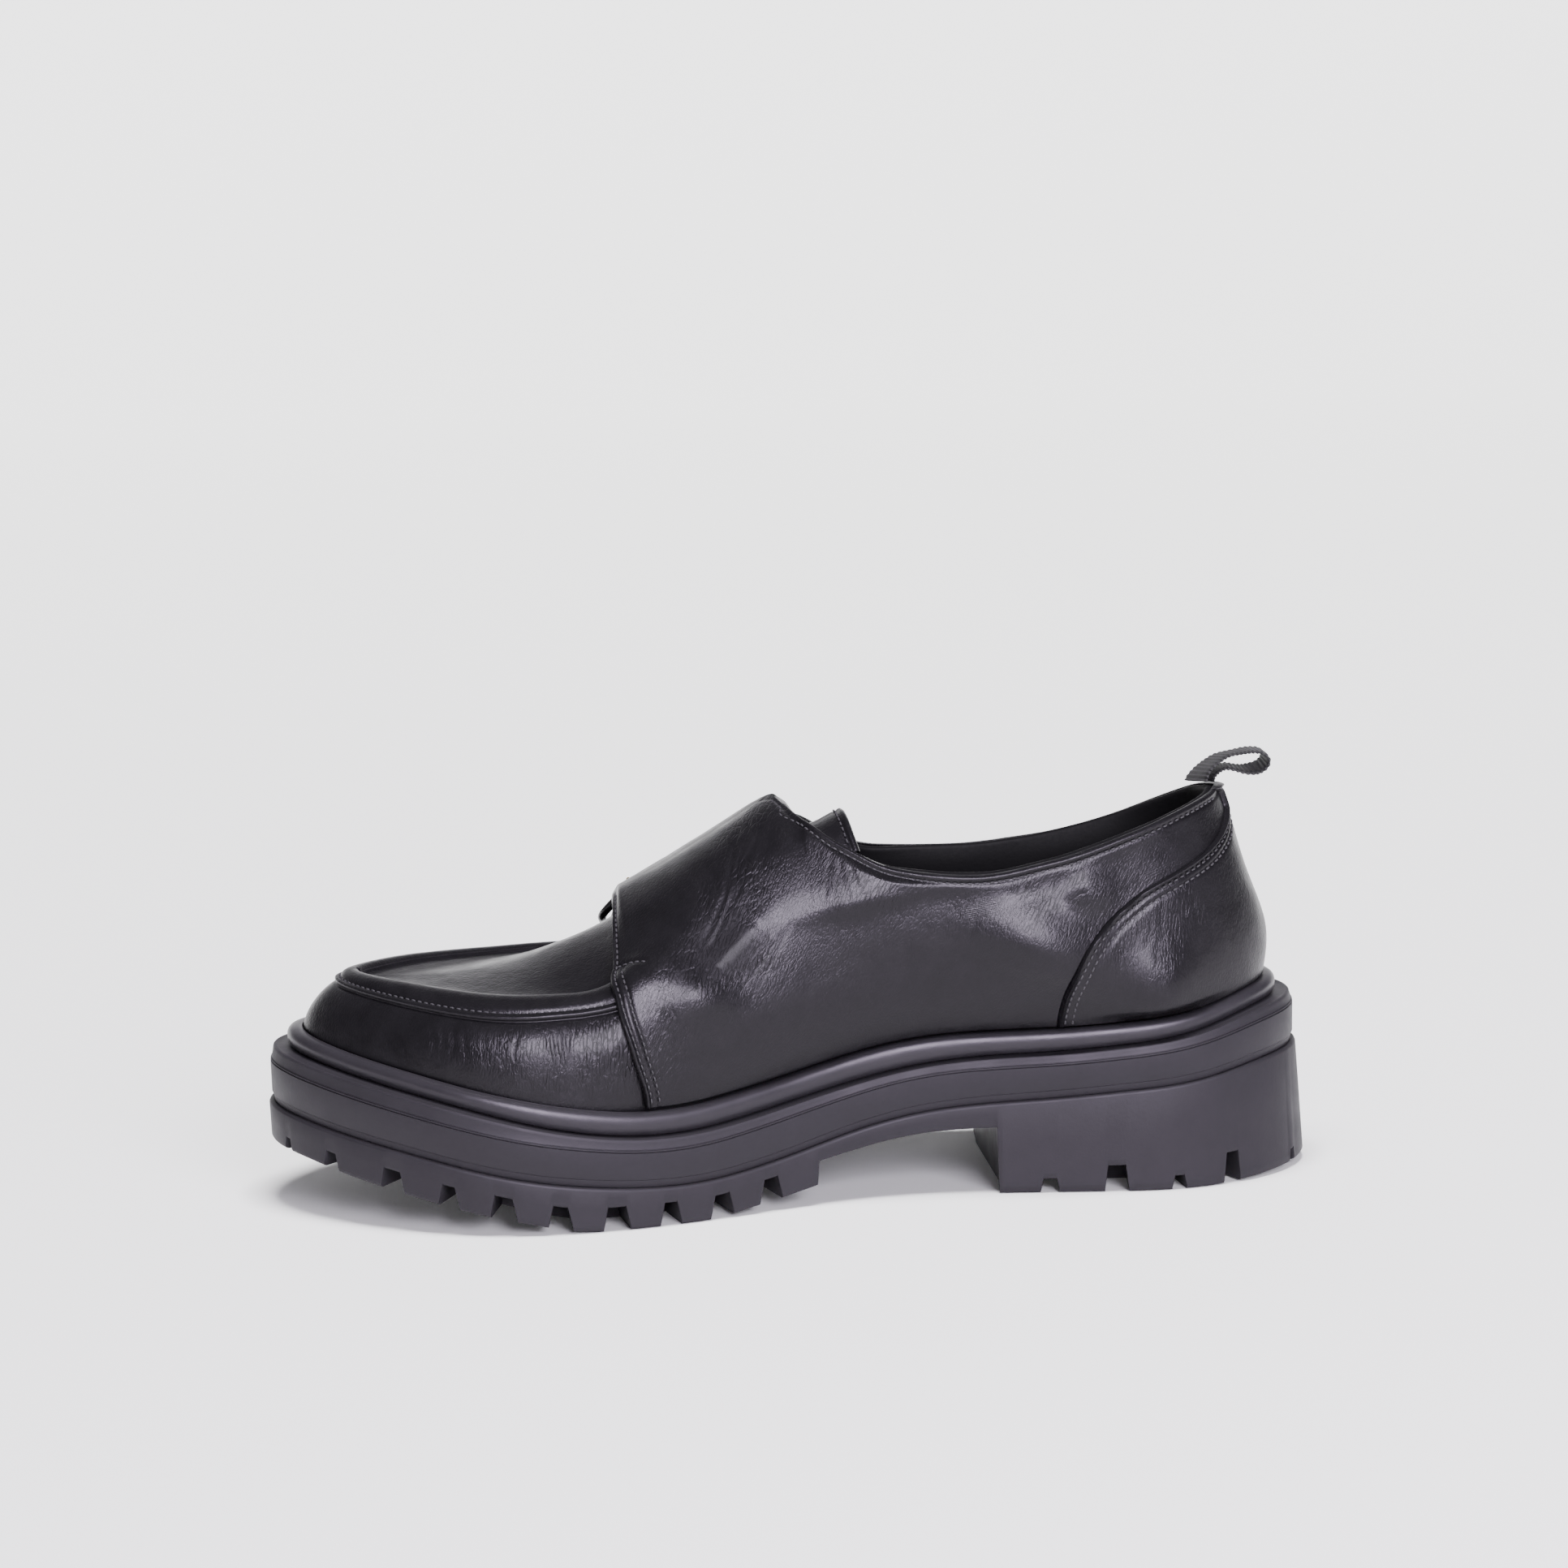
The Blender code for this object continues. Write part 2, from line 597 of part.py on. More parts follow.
step_places = (HEEL_BREAST - 0.25, HEEL_BREAST + 0.25, WAIST_END - 0.5, WAIST_END + 0.5)
around = stations(34, step_places + BALL_FLAT)
on_heel = around < HEEL_BREAST
on_ball = (around > BALL_FLAT[0] - 0.1) & (around < BALL_FLAT[1] + 0.1)
tread = np.where(on_heel | (around > WAIST_END), level(around, LUG), level(around, BASE))
tread = np.where(on_ball | (on_heel & (around > HEEL_FLAT)), 0.0, np.maximum(tread, 0.0))
sweep = HEEL_SWEEP * np.clip(1 - around / HEEL_SWEEP_LENGTH, 0, 1)
flare = np.where(on_heel, HEEL_FLARE + sweep, FOREFOOT_FLARE)
split = level(around, SPLIT)
outsole = stack(
    "outsole",
    [
        ring(around, EDGE_BEVEL - flare, tread),
        ring(around, -flare, tread + EDGE_BEVEL_RISE),
        ring(around, -0.4, split - 0.8),
        ring(around, 0.4, split),
    ],
    RUBBER,
    0.75,
)

cut_points = []
cut_faces = []
for u, wide, narrow, high in NOTCHES:
    for side in (MEDIAL, LATERAL):
        root = np.interp(u, around, tread) + high
        eu, ey, in_u, in_y = (float(v) for v in edge(np.array(u), 0.0, side))
        start = len(cut_points)
        floor = min(root - high - 0.6, -3.0)
        mouth = wide / 2 * (1 + 0.1 * (root - high - floor) / high)
        corners = ((-mouth, floor), (mouth, floor), (narrow / 2, root), (-narrow / 2, root))
        for reach in NOTCH_REACH:
            for half, height in corners:
                cut_u = eu + reach * in_u - half * in_y
                cut_y = ey + reach * in_y + half * in_u
                cut_points.append(place(cut_u, cut_y, height))
        for quad in ((0, 1, 2, 3), (7, 6, 5, 4), (0, 4, 5, 1), (1, 5, 6, 2), (2, 6, 7, 3), (3, 7, 4, 0)):
            cut_faces.append(tuple(start + k for k in quad))
cutter = make("lug_cutter", cut_points, cut_faces, RUBBER)
cutter.hide_render = True
cutter.display_type = "WIRE"
notch = outsole.modifiers.new("notches", "BOOLEAN")
notch.operation = "DIFFERENCE"
notch.solver = "EXACT"
notch.object = cutter

# Midsole: chamfer over the split, wall, narrow ledge, step

rims = stations(34)
side_rings = [ring(rims, inset, level(rims, tier) + over) for inset, tier, over in MIDSOLE_SIDE]
stack("midsole", side_rings, RUBBER, 0.75)

# Welt: round bead between the midsole and the upper

step = level(rims, STEP) + GAP
feather = level(rims, FEATHER)
inner = feather_inset(rims) - GAP
welt_rings = [ring(rims, inset, step + share * (feather - step)) for inset, share in WELT_ROUND]
hoop("welt", [ring(rims, inner, step), *welt_rings, ring(rims, inner, feather)], RUBBER, 0.6)

# Insole: footbed inside the upper

bed = feather_inset(rims) + UPPER_WALL + 0.5
stack(
    "insole",
    [
        ring(rims, bed, step),
        ring(rims, bed, step + INSOLE_THICK),
        ring(rims, bed + INSOLE_DISH_IN, step + INSOLE_THICK - INSOLE_DISH),
    ],
    LINING,
    0.9,
)

# Upper: one hollow wall with the raised moccasin seam, open at the collar, the throat and below

columns = np.array([
    0, 0.4, 0.8, 1.2, 1.6, 2, 2.5, 3, 3.6, 4.2, 4.9, MOC_END, THROAT_TIP, 5.6, 6, 6.5, 7, 7.5, 8, 8.5,
    9, 9.7, 10.5, 11.3, 12.1, 12.9, 13.6, 14.2, 14.7, 15.1, 15.4, 15.7, 16, 16.25, 16.5, 16.75, 17,
])
way_up = np.array([-1.0, 0, 0.15, 0.30, *MOC_SEAM[1:6, 0], 0.69, 0.76, 0.88, 1.0])


def throat(s, w):
    """Way up, shortened where the throat is open."""
    stop = steady(THROAT[:, 0], THROAT[:, 1], s)
    return np.where(w > 0.76, 0.76 + (w - 0.76) * (stop - 0.76) / 0.24, w)


def seam(s, w, side):
    """Height of the moccasin seam over the upper."""
    rise = np.interp(w, MOC_SEAM[:, 0], MOC_SEAM[:, 1])
    return np.where(s < MOC_END - 1e-6, rise, 0.0)


def lining_face(s, w, side):
    return np.full(np.shape(s), -UPPER_WALL)


upper_cells = []
s_grid, w_grid = np.meshgrid(columns, way_up, indexing="ij")
for side in (MEDIAL, LATERAL):
    upper_cells += grid_cells(side, s_grid, throat(s_grid, w_grid))
sheet("upper", upper_cells, lining_face, seam, LEATHER, 0.4)

# Tongue: sheet under the throat that stands out behind the flap

across_tongue = np.linspace(-1, 1, 9)
front = np.linspace(5.05, 8.0, 8)
tongue_rows = []
for s in front:
    narrow = 0.8 + 0.2 * ramp(5.05, 6.5, s)
    way = 1 - 0.22 * narrow * np.abs(across_tongue)
    left = skin(np.full(9, s), way, MEDIAL, np.full(9, -UPPER_WALL - 0.5))
    right = skin(np.full(9, s), way, LATERAL, np.full(9, -UPPER_WALL - 0.5))
    tongue_rows.append(np.where(across_tongue[:, None] <= 0, left, right))
last_row = tongue_rows[-1]
top_u = SOLE_LENGTH / 2 - CENTRE_X - last_row[4, 0] * 1000
top_z = last_row[4, 2] * 1000
for u, z in TONGUE_LINE:
    fade = (top_u - u) / (top_u - TONGUE_LINE[-1, 0])
    row = last_row.copy()
    row[:, 0] -= (u - top_u) / 1000
    row[:, 1] *= 1 - 0.06 * fade
    drop = (row[:, 2] - last_row[4, 2]) * (1 - 0.25 * fade * np.sign(-across_tongue))
    drop -= 0.005 * fade * np.clip(-across_tongue, 0, 1) ** 3
    row[:, 2] = z / 1000 + drop
    row[:, 0] -= 0.34 * fade * drop
    tongue_rows.append(row)
tongue_top = np.array(tongue_rows)
run = np.gradient(tongue_top, axis=0)
spread = np.gradient(tongue_top, axis=1)
under = np.cross(run, spread)
under /= np.linalg.norm(under, axis=-1, keepdims=True)
under *= np.where(under[..., 2:] > 0, -1, 1)
thick_grid("tongue", tongue_top, tongue_top + under * TONGUE_WALL / 1000, LEATHER, 0.45)

# Medial quarter: one sheet from the welt over the instep, split into two straps on the lateral side

rows = np.array([0.012, 0.15, 0.30, 0.42, 0.55, 0.64, 0.69, 0.73, 0.78, 0.85, 0.93, 1.0])
ridge_s = np.array([5.43, 5.7, 6.05, 6.42, 7.1, 7.4, 7.7, 8.0])
collar_s = np.array([8.5, 9, 9.6, 10.4, 11.3, 12.2, 13.1, 14, 14.8, 15.5, 16.2])
top_s = np.concatenate([ridge_s, collar_s])
share_back = (top_s - top_s[0]) / (top_s[-1] - top_s[0])
rear_gap = 0.025


def between(w, share):
    """Section at a share of the way from the front edge to the heel counter."""
    ahead = steady(FRONT_EDGE[:, 0], FRONT_EDGE[:, 1], w)
    behind = steady(COUNTER_EDGE[:, 0], COUNTER_EDGE[:, 1], w) - rear_gap
    return ahead + (behind - ahead) * share


share_grid, w_grid = np.meshgrid(share_back, rows, indexing="ij")
quarter_s = between(w_grid, share_grid)
quarter_s[:, -1] = top_s
quarter_s[-1, -1] -= rear_gap
quarter_cells = grid_cells(MEDIAL, quarter_s, w_grid)


def flap_rise(s):
    return np.interp(s, FLAP_RISE[:, 0], FLAP_RISE[:, 1])


def quarter_low(s, w, side):
    rest = OVERLAY_GAP if side == MEDIAL else STRAP_LAYER
    near = ramp(0.62, 1.0, w) * (1 - ramp(7.9, 9.6, s))
    over = near if side == MEDIAL else ramp(0.62, 1.0, w)
    return rest + (flap_rise(s) - rest) * over


def quarter_high(s, w, side):
    return quarter_low(s, w, side) + QUARTER_WALL


strap_rows = np.array([
    1.0, 0.95, 0.90, STRAP_SPLIT, 0.81, 0.75, 0.69, 0.63, 0.57, 0.51, 0.45, 0.40, 0.37, 0.35, STRAP_TIP,
])
strap_grid, down_grid = np.meshgrid(ridge_s, strap_rows, indexing="ij")
back = np.clip((strap_grid - REAR_STRAP[0]) / (REAR_STRAP[1] - REAR_STRAP[0]), 0, 1)
slant = REAR_STRAP_SLANT[0] + (REAR_STRAP_SLANT[1] - REAR_STRAP_SLANT[0]) * back
on_rear = strap_grid > REAR_STRAP[0] - 1e-6
strap_grid = strap_grid + np.where(on_rear, slant * (1 - np.maximum(down_grid, SLANT_STOP)), 0)
tip = np.clip((STRAP_TIP + STRAP_ROUND - down_grid) / STRAP_ROUND, 0, 1)
closing = np.sqrt(1 - 0.72 * tip ** 2)
for first, last in ((0, 3), (4, 7)):
    part = slice(first, last + 1)
    middle = (strap_grid[first] + strap_grid[last]) / 2
    strap_grid[part] = middle + (strap_grid[part] - middle) * closing[part]
slit = np.zeros((len(ridge_s) - 1, len(strap_rows) - 1), bool)
slit[3, 3:] = True
quarter_cells += grid_cells(LATERAL, strap_grid, down_grid, slit)
sheet("medial_quarter", quarter_cells, quarter_low, quarter_high, LEATHER, 0.4)

# Lateral quarter: same cut on the far side, stopping at the throat


def plain_low(s, w, side):
    return np.full(np.shape(s), OVERLAY_GAP)


def plain_high(s, w, side):
    return np.full(np.shape(s), OVERLAY_GAP + QUARTER_WALL)


share_grid, w_grid = np.meshgrid(share_back, rows, indexing="ij")
lateral_s = between(w_grid, share_grid)
sheet(
    "lateral_quarter",
    grid_cells(LATERAL, lateral_s, throat(lateral_s, w_grid)),
    plain_low,
    plain_high,
    LEATHER,
    0.4,
)

# Heel counter: overlay round the heel

counter_share = np.array([0, 0.15, 0.3, 0.44, 0.58, 0.72, 0.86, 1.0])
share_grid, w_counter = np.meshgrid(counter_share, rows, indexing="ij")
counter_front = steady(COUNTER_EDGE[:, 0], COUNTER_EDGE[:, 1], w_counter)
counter_s = counter_front + (LAST - counter_front) * share_grid


def counter_high(s, w, side):
    return np.full(np.shape(s), OVERLAY_GAP + COUNTER_WALL)


counter_cells = grid_cells(MEDIAL, counter_s, w_counter) + grid_cells(LATERAL, counter_s, w_counter)
sheet("heel_counter", counter_cells, plain_low, counter_high, LEATHER, 0.4)

# Buckles: a frame round each strap and its pin


def measure(s, w, side):
    """Distances along a run of points on the upper."""
    run = wall(s, w, side)
    return np.concatenate([[0], np.cumsum(np.linalg.norm(np.diff(run, axis=0), axis=1))])


for name, low, high, way, tilt in BUCKLES:
    trial_s = np.linspace(low - 0.6, high + 0.8, 120)
    along_s = measure(trial_s, np.full(120, way), LATERAL)
    left, right = np.interp([low, high], trial_s, along_s)
    centre_s = (left + right) / 2
    middle = float(np.interp(centre_s, along_s, trial_s))
    trial_w = np.linspace(0.3, 1.0, 120)
    along_w = measure(np.full(120, middle), trial_w, LATERAL)
    centre_w = float(np.interp(way, trial_w, along_w))
    lean_s = np.sin(np.radians(tilt))
    lean_w = np.cos(np.radians(tilt))

    def on_strap(across, along, lift):
        """Path over the strap, and the directions away from it."""
        s = np.interp(centre_s + across * lean_w - along * lean_s, along_s, trial_s)
        w = np.interp(centre_w + across * lean_s + along * lean_w, along_w, trial_w)
        path = skin(s, w, LATERAL, quarter_high(s, w, LATERAL) + lift)
        return path, outward(s, w, LATERAL) * (-1, 1, 1)

    half_wide = (right - left) / 2 + BUCKLE_OVER
    turn = np.linspace(0, 2 * np.pi, 24, endpoint=False)
    across = half_wide * np.sign(np.cos(turn)) * np.abs(np.cos(turn)) ** BUCKLE_CORNER
    along = BUCKLE_LONG * np.sign(np.sin(turn)) * np.abs(np.sin(turn)) ** BUCKLE_CORNER
    path, ups = on_strap(across, along, GAP + BUCKLE_ROD)
    tube("buckle_" + name, path, ups, BUCKLE_ROD, True, METAL, 0.9, 0.3)
    along = np.linspace(-BUCKLE_LONG - 0.6, BUCKLE_LONG + 0.6, 9)
    path, ups = on_strap(np.zeros(9), along, 2 * GAP + 2 * BUCKLE_ROD + PIN_ROD)
    slim = PIN_ROD * np.array([0.8, 1, 1, 1, 1, 1, 0.95, 0.85, 0.5])
    tube("pin_" + name, path, ups, slim, False, GOLD, 0.9, 0.3)

# Pull loop: tape over the collar at the heel back

line = spline(np.arange(len(LOOP_LINE)), LOOP_LINE, np.linspace(0, len(LOOP_LINE) - 1, 34))
lead = np.gradient(line[:, :2] + line[:, 2:], axis=0)
lead /= np.linalg.norm(lead, axis=1)[:, None]
across_u = -lead[:, 1] * LOOP_WALL / 2
across_z = lead[:, 0] * LOOP_WALL / 2
tape_y = np.array([0.0, LOOP_WIDTH])
tape = []
for sign in (1, -1):
    tape_u = line[:, 0::2] + sign * across_u[:, None]
    tape_z = line[:, 1::2] + sign * across_z[:, None]
    tape.append(place(tape_u, tape_y[None, :], tape_z))
thick_grid("pull_loop", tape[0], tape[1], (0.02, 0.02, 0.02), 0.9)
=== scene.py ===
# %% [markdown]
# # Dressing a black buckle derby
# A shoe like this one is a stack of moulded rubber under a leather upper that was pulled over a last.
# The solids of the right shoe are already in the shared frame. This lesson puts finer pieces in their
# places, one after the other: the three layers of the sole, the upper with its raised apron seam, the
# quarters, the strap flap and its buckles, the heel counter, the tongue, the pull loop and the threads.
# Every piece is a surface that a formula gives, so each shape can be read, measured and changed.

# %% Tools and the shared frame
import bmesh
import bpy
import numpy as np
from mathutils import Matrix, Vector


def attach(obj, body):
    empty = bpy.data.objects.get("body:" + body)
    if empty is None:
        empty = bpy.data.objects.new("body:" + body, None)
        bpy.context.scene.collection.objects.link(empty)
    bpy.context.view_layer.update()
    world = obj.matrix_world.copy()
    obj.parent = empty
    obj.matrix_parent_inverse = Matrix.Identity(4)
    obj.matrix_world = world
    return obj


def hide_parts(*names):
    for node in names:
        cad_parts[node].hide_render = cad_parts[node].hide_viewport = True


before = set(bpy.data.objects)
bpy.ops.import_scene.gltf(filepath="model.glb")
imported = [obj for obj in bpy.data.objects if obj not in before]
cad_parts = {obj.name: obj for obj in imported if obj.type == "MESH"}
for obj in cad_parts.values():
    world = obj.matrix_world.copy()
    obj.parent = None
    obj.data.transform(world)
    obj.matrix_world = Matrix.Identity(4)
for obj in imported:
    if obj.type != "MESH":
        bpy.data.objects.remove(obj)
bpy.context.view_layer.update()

# %% [markdown]
# ## Curves through a few known places
# A pattern maker marks a handful of sizes and lets a springy ruler find the rest. The same is done here
# with two curves: a free one that bends as little as it can, and a steady one that never swings past its
# marks, for edges that must not wave. A soft step and a bell serve wherever something fades.

# %% Splines, steps and bells
def spline(knots, values, at, flat_ends=False):
    """Cubic between marks: the bend at the marks is solved so that slope and bend run on without a jump."""
    knots = np.asarray(knots, float)
    values = np.asarray(values, float)
    at = np.asarray(at, float)
    span = np.diff(knots)
    wide = span.reshape((-1,) + (1,) * (values.ndim - 1))
    slope = np.diff(values, axis=0) / wide
    matrix = np.diag(np.r_[1, 2 * (span[:-1] + span[1:]), 1])
    matrix += np.diag(np.r_[span[:-1], 0], -1) + np.diag(np.r_[0, span[1:]], 1)
    right = np.zeros_like(values)
    right[1:-1] = 6 * np.diff(slope, axis=0)
    if flat_ends:
        matrix[0, :2] = 2 * span[0], span[0]
        matrix[-1, -2:] = span[-1], 2 * span[-1]
        right[0] = 6 * slope[0]
        right[-1] = -6 * slope[-1]
    bend = np.linalg.solve(matrix, right.reshape(len(knots), -1)).reshape(values.shape)
    cell = np.clip(np.searchsorted(knots, at) - 1, 0, len(knots) - 2)
    shape = at.shape + (1,) * (values.ndim - 1)
    along = (at - knots[cell]).reshape(shape)
    width = span[cell].reshape(shape)
    start = slope[cell] - width * (2 * bend[cell] + bend[cell + 1]) / 6
    turn = (bend[cell + 1] - bend[cell]) / (6 * width)
    return values[cell] + along * (start + along * (bend[cell] / 2 + along * turn))


def steady(table, at):
    """Cubic through a table of pairs, whose slope at a mark is the harmonic mean of its neighbours."""
    knots, values = np.asarray(table, float).T
    span = np.diff(knots)
    slope = np.diff(values) / span
    same = slope[1:] * slope[:-1] > 0
    total = np.where(same, slope[1:] + slope[:-1], 1)
    rate = np.r_[0, np.where(same, 2 * slope[1:] * slope[:-1] / total, 0), 0]
    cell = np.clip(np.searchsorted(knots, at) - 1, 0, len(knots) - 2)
    t = np.clip((at - knots[cell]) / span[cell], 0, 1)
    keep = 2 * t ** 3 - 3 * t ** 2 + 1
    leave = (t ** 3 - 2 * t ** 2 + t) * span[cell]
    arrive = (t ** 3 - t ** 2) * span[cell]
    ends = values[cell] * keep + values[cell + 1] * (1 - keep)
    return ends + rate[cell] * leave + rate[cell + 1] * arrive


def ramp(low, high, value):
    """Soft step from 0 to 1: three times the square less twice the cube."""
    t = np.clip((value - low) / (high - low), 0, 1)
    return t * t * (3 - 2 * t)


def bell(value, middle, reach):
    """Bell curve: e to the power of less the square of the distance from the middle, in reaches."""
    return np.exp(-((value - middle) / reach) ** 2)


# %% Lines and directions
def runs(stops, counts):
    """Places from stop to stop, each run with a count of its own and each shared stop once."""
    parts = [np.linspace(a, b, n)[1:] for a, b, n in zip(stops, stops[1:], counts)]
    return np.concatenate([[stops[0]], *parts])


def run_length(line):
    """Distance along a line of points, from its start."""
    return np.r_[0, np.cumsum(np.linalg.norm(np.diff(line, axis=0), axis=1))]


def unit(v):
    """Vectors of length one in the same directions."""
    return v / np.linalg.norm(v, axis=-1, keepdims=True)


# %% [markdown]
# ## From arrays to pieces
# A piece is a mesh with a material, and it hides the solid it stands for. Cells of a grid are numbered
# with whole arrays; where two corners of a cell are the same point, the cell is a triangle.

# %% Making a piece
def quads_of(index):
    """Cells of a grid of point numbers, corner by corner."""
    corners = (index[:-1, :-1], index[1:, :-1], index[1:, 1:], index[:-1, 1:])
    return np.stack(corners, -1).reshape(-1, 4)


def piece(name, points, quads, material, node, crisp=50, marks=None):
    """Mesh of the points in metres; marks are values kept on the points for the material to read."""
    same = quads == np.roll(quads, -1, axis=1)
    bent = same.sum(1) == 1
    faces = quads[~same.any(1)].tolist() + quads[bent][~same[bent]].reshape(-1, 3).tolist()
    mesh = bpy.data.meshes.new(name)
    mesh.from_pydata(points.tolist(), [], faces)
    for label, values in (marks or {}).items():
        kind, entry = ("FLOAT", "value") if values.ndim == 1 else ("FLOAT_VECTOR", "vector")
        layer = mesh.attributes.new(label, kind, "POINT")
        layer.data.foreach_set(entry, values.ravel().astype(np.float32))
    body = bmesh.new()
    body.from_mesh(mesh)
    bmesh.ops.recalc_face_normals(body, faces=body.faces)
    body.to_mesh(mesh)
    body.free()
    mesh.shade_smooth()
    mesh.set_sharp_from_angle(angle=np.radians(crisp))
    mesh.materials.append(material)
    thing = bpy.data.objects.new(name, mesh)
    bpy.context.scene.collection.objects.link(thing)
    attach(thing, "root")
    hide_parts(node)
    print(f"{name}: {len(points)} points, {len(faces)} faces")
    return thing


# %% [markdown]
# ## Materials
# The upper is a coated black leather: nearly black, half glossy, with a fine grain. The sole is matt
# rubber, a little greyer. Grain and mottling are bumps from noise laid in the shoe's own coordinates.
# Fine cracks run along one direction in each panel, so every panel carries its own lay, in millimetres
# across and along the cracks, and a measure of how worn each place is. Past one, wear also dulls the gloss.

# %% Shader helpers
# Sockets of a mix of colours, which share their names with other sockets
MIX_SHARE, MIX_FIRST, MIX_SECOND, MIX_RESULT = 0, 6, 7, 2


def shader(name, **values):
    """Principled material with the given sockets set."""
    material = bpy.data.materials.new(name)
    material.use_nodes = True
    tree = material.node_tree
    base = tree.nodes["Principled BSDF"]
    for socket, value in values.items():
        base.inputs[socket.replace("_", " ")].default_value = value
    return material, tree, base


def add(tree, kind, **values):
    """Node with its named sockets set or, where a socket is given, linked."""
    node = tree.nodes.new("ShaderNode" + kind)
    for socket, value in values.items():
        target = node.inputs[socket.replace("_", " ")]
        if isinstance(value, bpy.types.NodeSocket):
            tree.links.new(value, target)
        else:
            target.default_value = value
    return node


def spread(tree, value, low, high, out_low=0.0, out_high=1.0):
    """Value carried from one range to another, held at the ends."""
    node = add(tree, "MapRange", Value=value, From_Min=low, From_Max=high, To_Min=out_low, To_Max=out_high)
    return node.outputs["Result"]


def noise(tree, scale, detail, rough=0.5, where=None):
    """Soft noise from 0 to 1: so many grains to the metre, or to the unit of the coordinates given."""
    if where is None:
        where = add(tree, "TexCoord").outputs["Object"]
    return add(tree, "TexNoise", Vector=where, Scale=scale, Detail=detail, Roughness=rough).outputs["Fac"]


def mark(tree, name):
    """Value that a piece keeps on its points."""
    node = tree.nodes.new("ShaderNodeAttribute")
    node.attribute_name = name
    return node


def combined(tree, operation, first, second):
    """Sum or product of two values."""
    node = add(tree, "Math", Value=first)
    node.operation = operation
    tree.links.new(second, node.inputs[1])
    return node.outputs["Value"]


def cell_walls(tree, where, size, wide):
    """0 on the walls between cells, 1 at the given distance from them."""
    sized = add(tree, "Mapping", Vector=where, Scale=size)
    cells = add(tree, "TexVoronoi", Vector=sized.outputs["Vector"], Scale=1.0)
    cells.feature = "DISTANCE_TO_EDGE"
    return spread(tree, cells.outputs["Distance"], 0.0, wide)


def mottle(tree, base, value, dark, light):
    """Base colour that wanders between two colours."""
    blend = tree.nodes.new("ShaderNodeMix")
    blend.data_type = "RGBA"
    blend.inputs[MIX_FIRST].default_value = (*dark, 1)
    blend.inputs[MIX_SECOND].default_value = (*light, 1)
    tree.links.new(value, blend.inputs[MIX_SHARE])
    tree.links.new(blend.outputs[MIX_RESULT], base.inputs["Base Color"])


def bumped(tree, base, *layers):
    """Bumps added one on another: each a height from 0 to 1 and its depth in metres."""
    before = None
    for height, depth in layers:
        bump = add(tree, "Bump", Height=height, Strength=1.0, Distance=depth)
        if before is not None:
            tree.links.new(before, bump.inputs["Normal"])
        before = bump.outputs["Normal"]
    tree.links.new(before, base.inputs["Normal"])


# %% Leather
LILAC = (0.96, 0.88, 1.0, 1.0)
LEATHER_DARK, LEATHER_LIGHT = (0.0042, 0.0039, 0.0046), (0.0076, 0.0071, 0.0082)
CRACK_CELLS, PEBBLE_CELLS = (1.0, 0.21, 0.4), (1.5, 0.7, 0.9)
CRACK_WIDE, PEBBLE_WIDE, DULLING = 0.16, 0.22, 0.32
UNEVEN_DEPTH, PORE_DEPTH, PEBBLE_DEPTH = 0.00022, 0.00003, 0.000028


def leather_material(name, gloss, crack_depth):
    """Black leather: pores of half a millimetre, soft unevenness, and cracks that follow the lay."""
    material, tree, base = shader(
        name, Specular_IOR_Level=0.17, Specular_Tint=LILAC, Coat_Weight=0.08, Coat_Roughness=0.20)
    pores = noise(tree, 1900.0, 3.0, 0.6)
    uneven = noise(tree, 170.0, 3.0)
    lay = mark(tree, "lay").outputs["Vector"]
    worn = mark(tree, "worn").outputs["Fac"]
    sway = add(tree, "TexNoise", Vector=lay, Scale=0.22, Detail=4.0, Roughness=0.65)
    swayed = add(tree, "VectorMath", Vector=lay)
    swayed.operation = "ADD"
    tree.links.new(sway.outputs["Color"], swayed.inputs[1])
    crack = cell_walls(tree, swayed.outputs["Vector"], CRACK_CELLS, CRACK_WIDE)
    pebble = cell_walls(tree, swayed.outputs["Vector"], PEBBLE_CELLS, PEBBLE_WIDE)
    patches = spread(tree, noise(tree, 0.11, 2.0, where=lay), 0.40, 0.62, 0.2, 1.0)
    deep = combined(tree, "MULTIPLY", spread(tree, crack, 0.0, 1.0, 1.0, 0.0), worn)
    sunk = spread(tree, combined(tree, "MULTIPLY", deep, patches), 0.0, 1.0, 1.0, 0.0)
    mottle(tree, base, uneven, LEATHER_DARK, LEATHER_LIGHT)
    even = spread(tree, uneven, 0.3, 0.7, gloss - 0.04, gloss + 0.06)
    rough = combined(tree, "ADD", even, spread(tree, worn, 1.0, 2.0, 0.0, DULLING))
    tree.links.new(rough, base.inputs["Roughness"])
    layers = (uneven, UNEVEN_DEPTH), (pores, PORE_DEPTH), (pebble, PEBBLE_DEPTH), (sunk, crack_depth)
    bumped(tree, base, *layers)
    return material


leather = leather_material("black_leather", 0.33, 0.00011)

# %% Rubber and lining
RUBBER_DARK, RUBBER_LIGHT = (0.0143, 0.0130, 0.0155), (0.0200, 0.0184, 0.0218)
# Lining colours: black cloth, darkened further as painted shade for the inside of the collar and the
# footbed
LINING_SHADED_DARK, LINING_SHADED_LIGHT = (0.0026, 0.0024, 0.0028), (0.0052, 0.0048, 0.0056)


def rubber_material(name, shine, low, high):
    """Matt grey-black rubber with the faint cloudiness and pits of a moulding."""
    material, tree, base = shader(name, Specular_IOR_Level=shine, Specular_Tint=LILAC)
    cloud = noise(tree, 90.0, 5.0, 0.6)
    pits = noise(tree, 1500.0, 2.0)
    mottle(tree, base, cloud, RUBBER_DARK, RUBBER_LIGHT)
    tree.links.new(spread(tree, cloud, 0.3, 0.7, low, high), base.inputs["Roughness"])
    bumped(tree, base, (cloud, 0.00012), (pits, 0.00002))
    return material


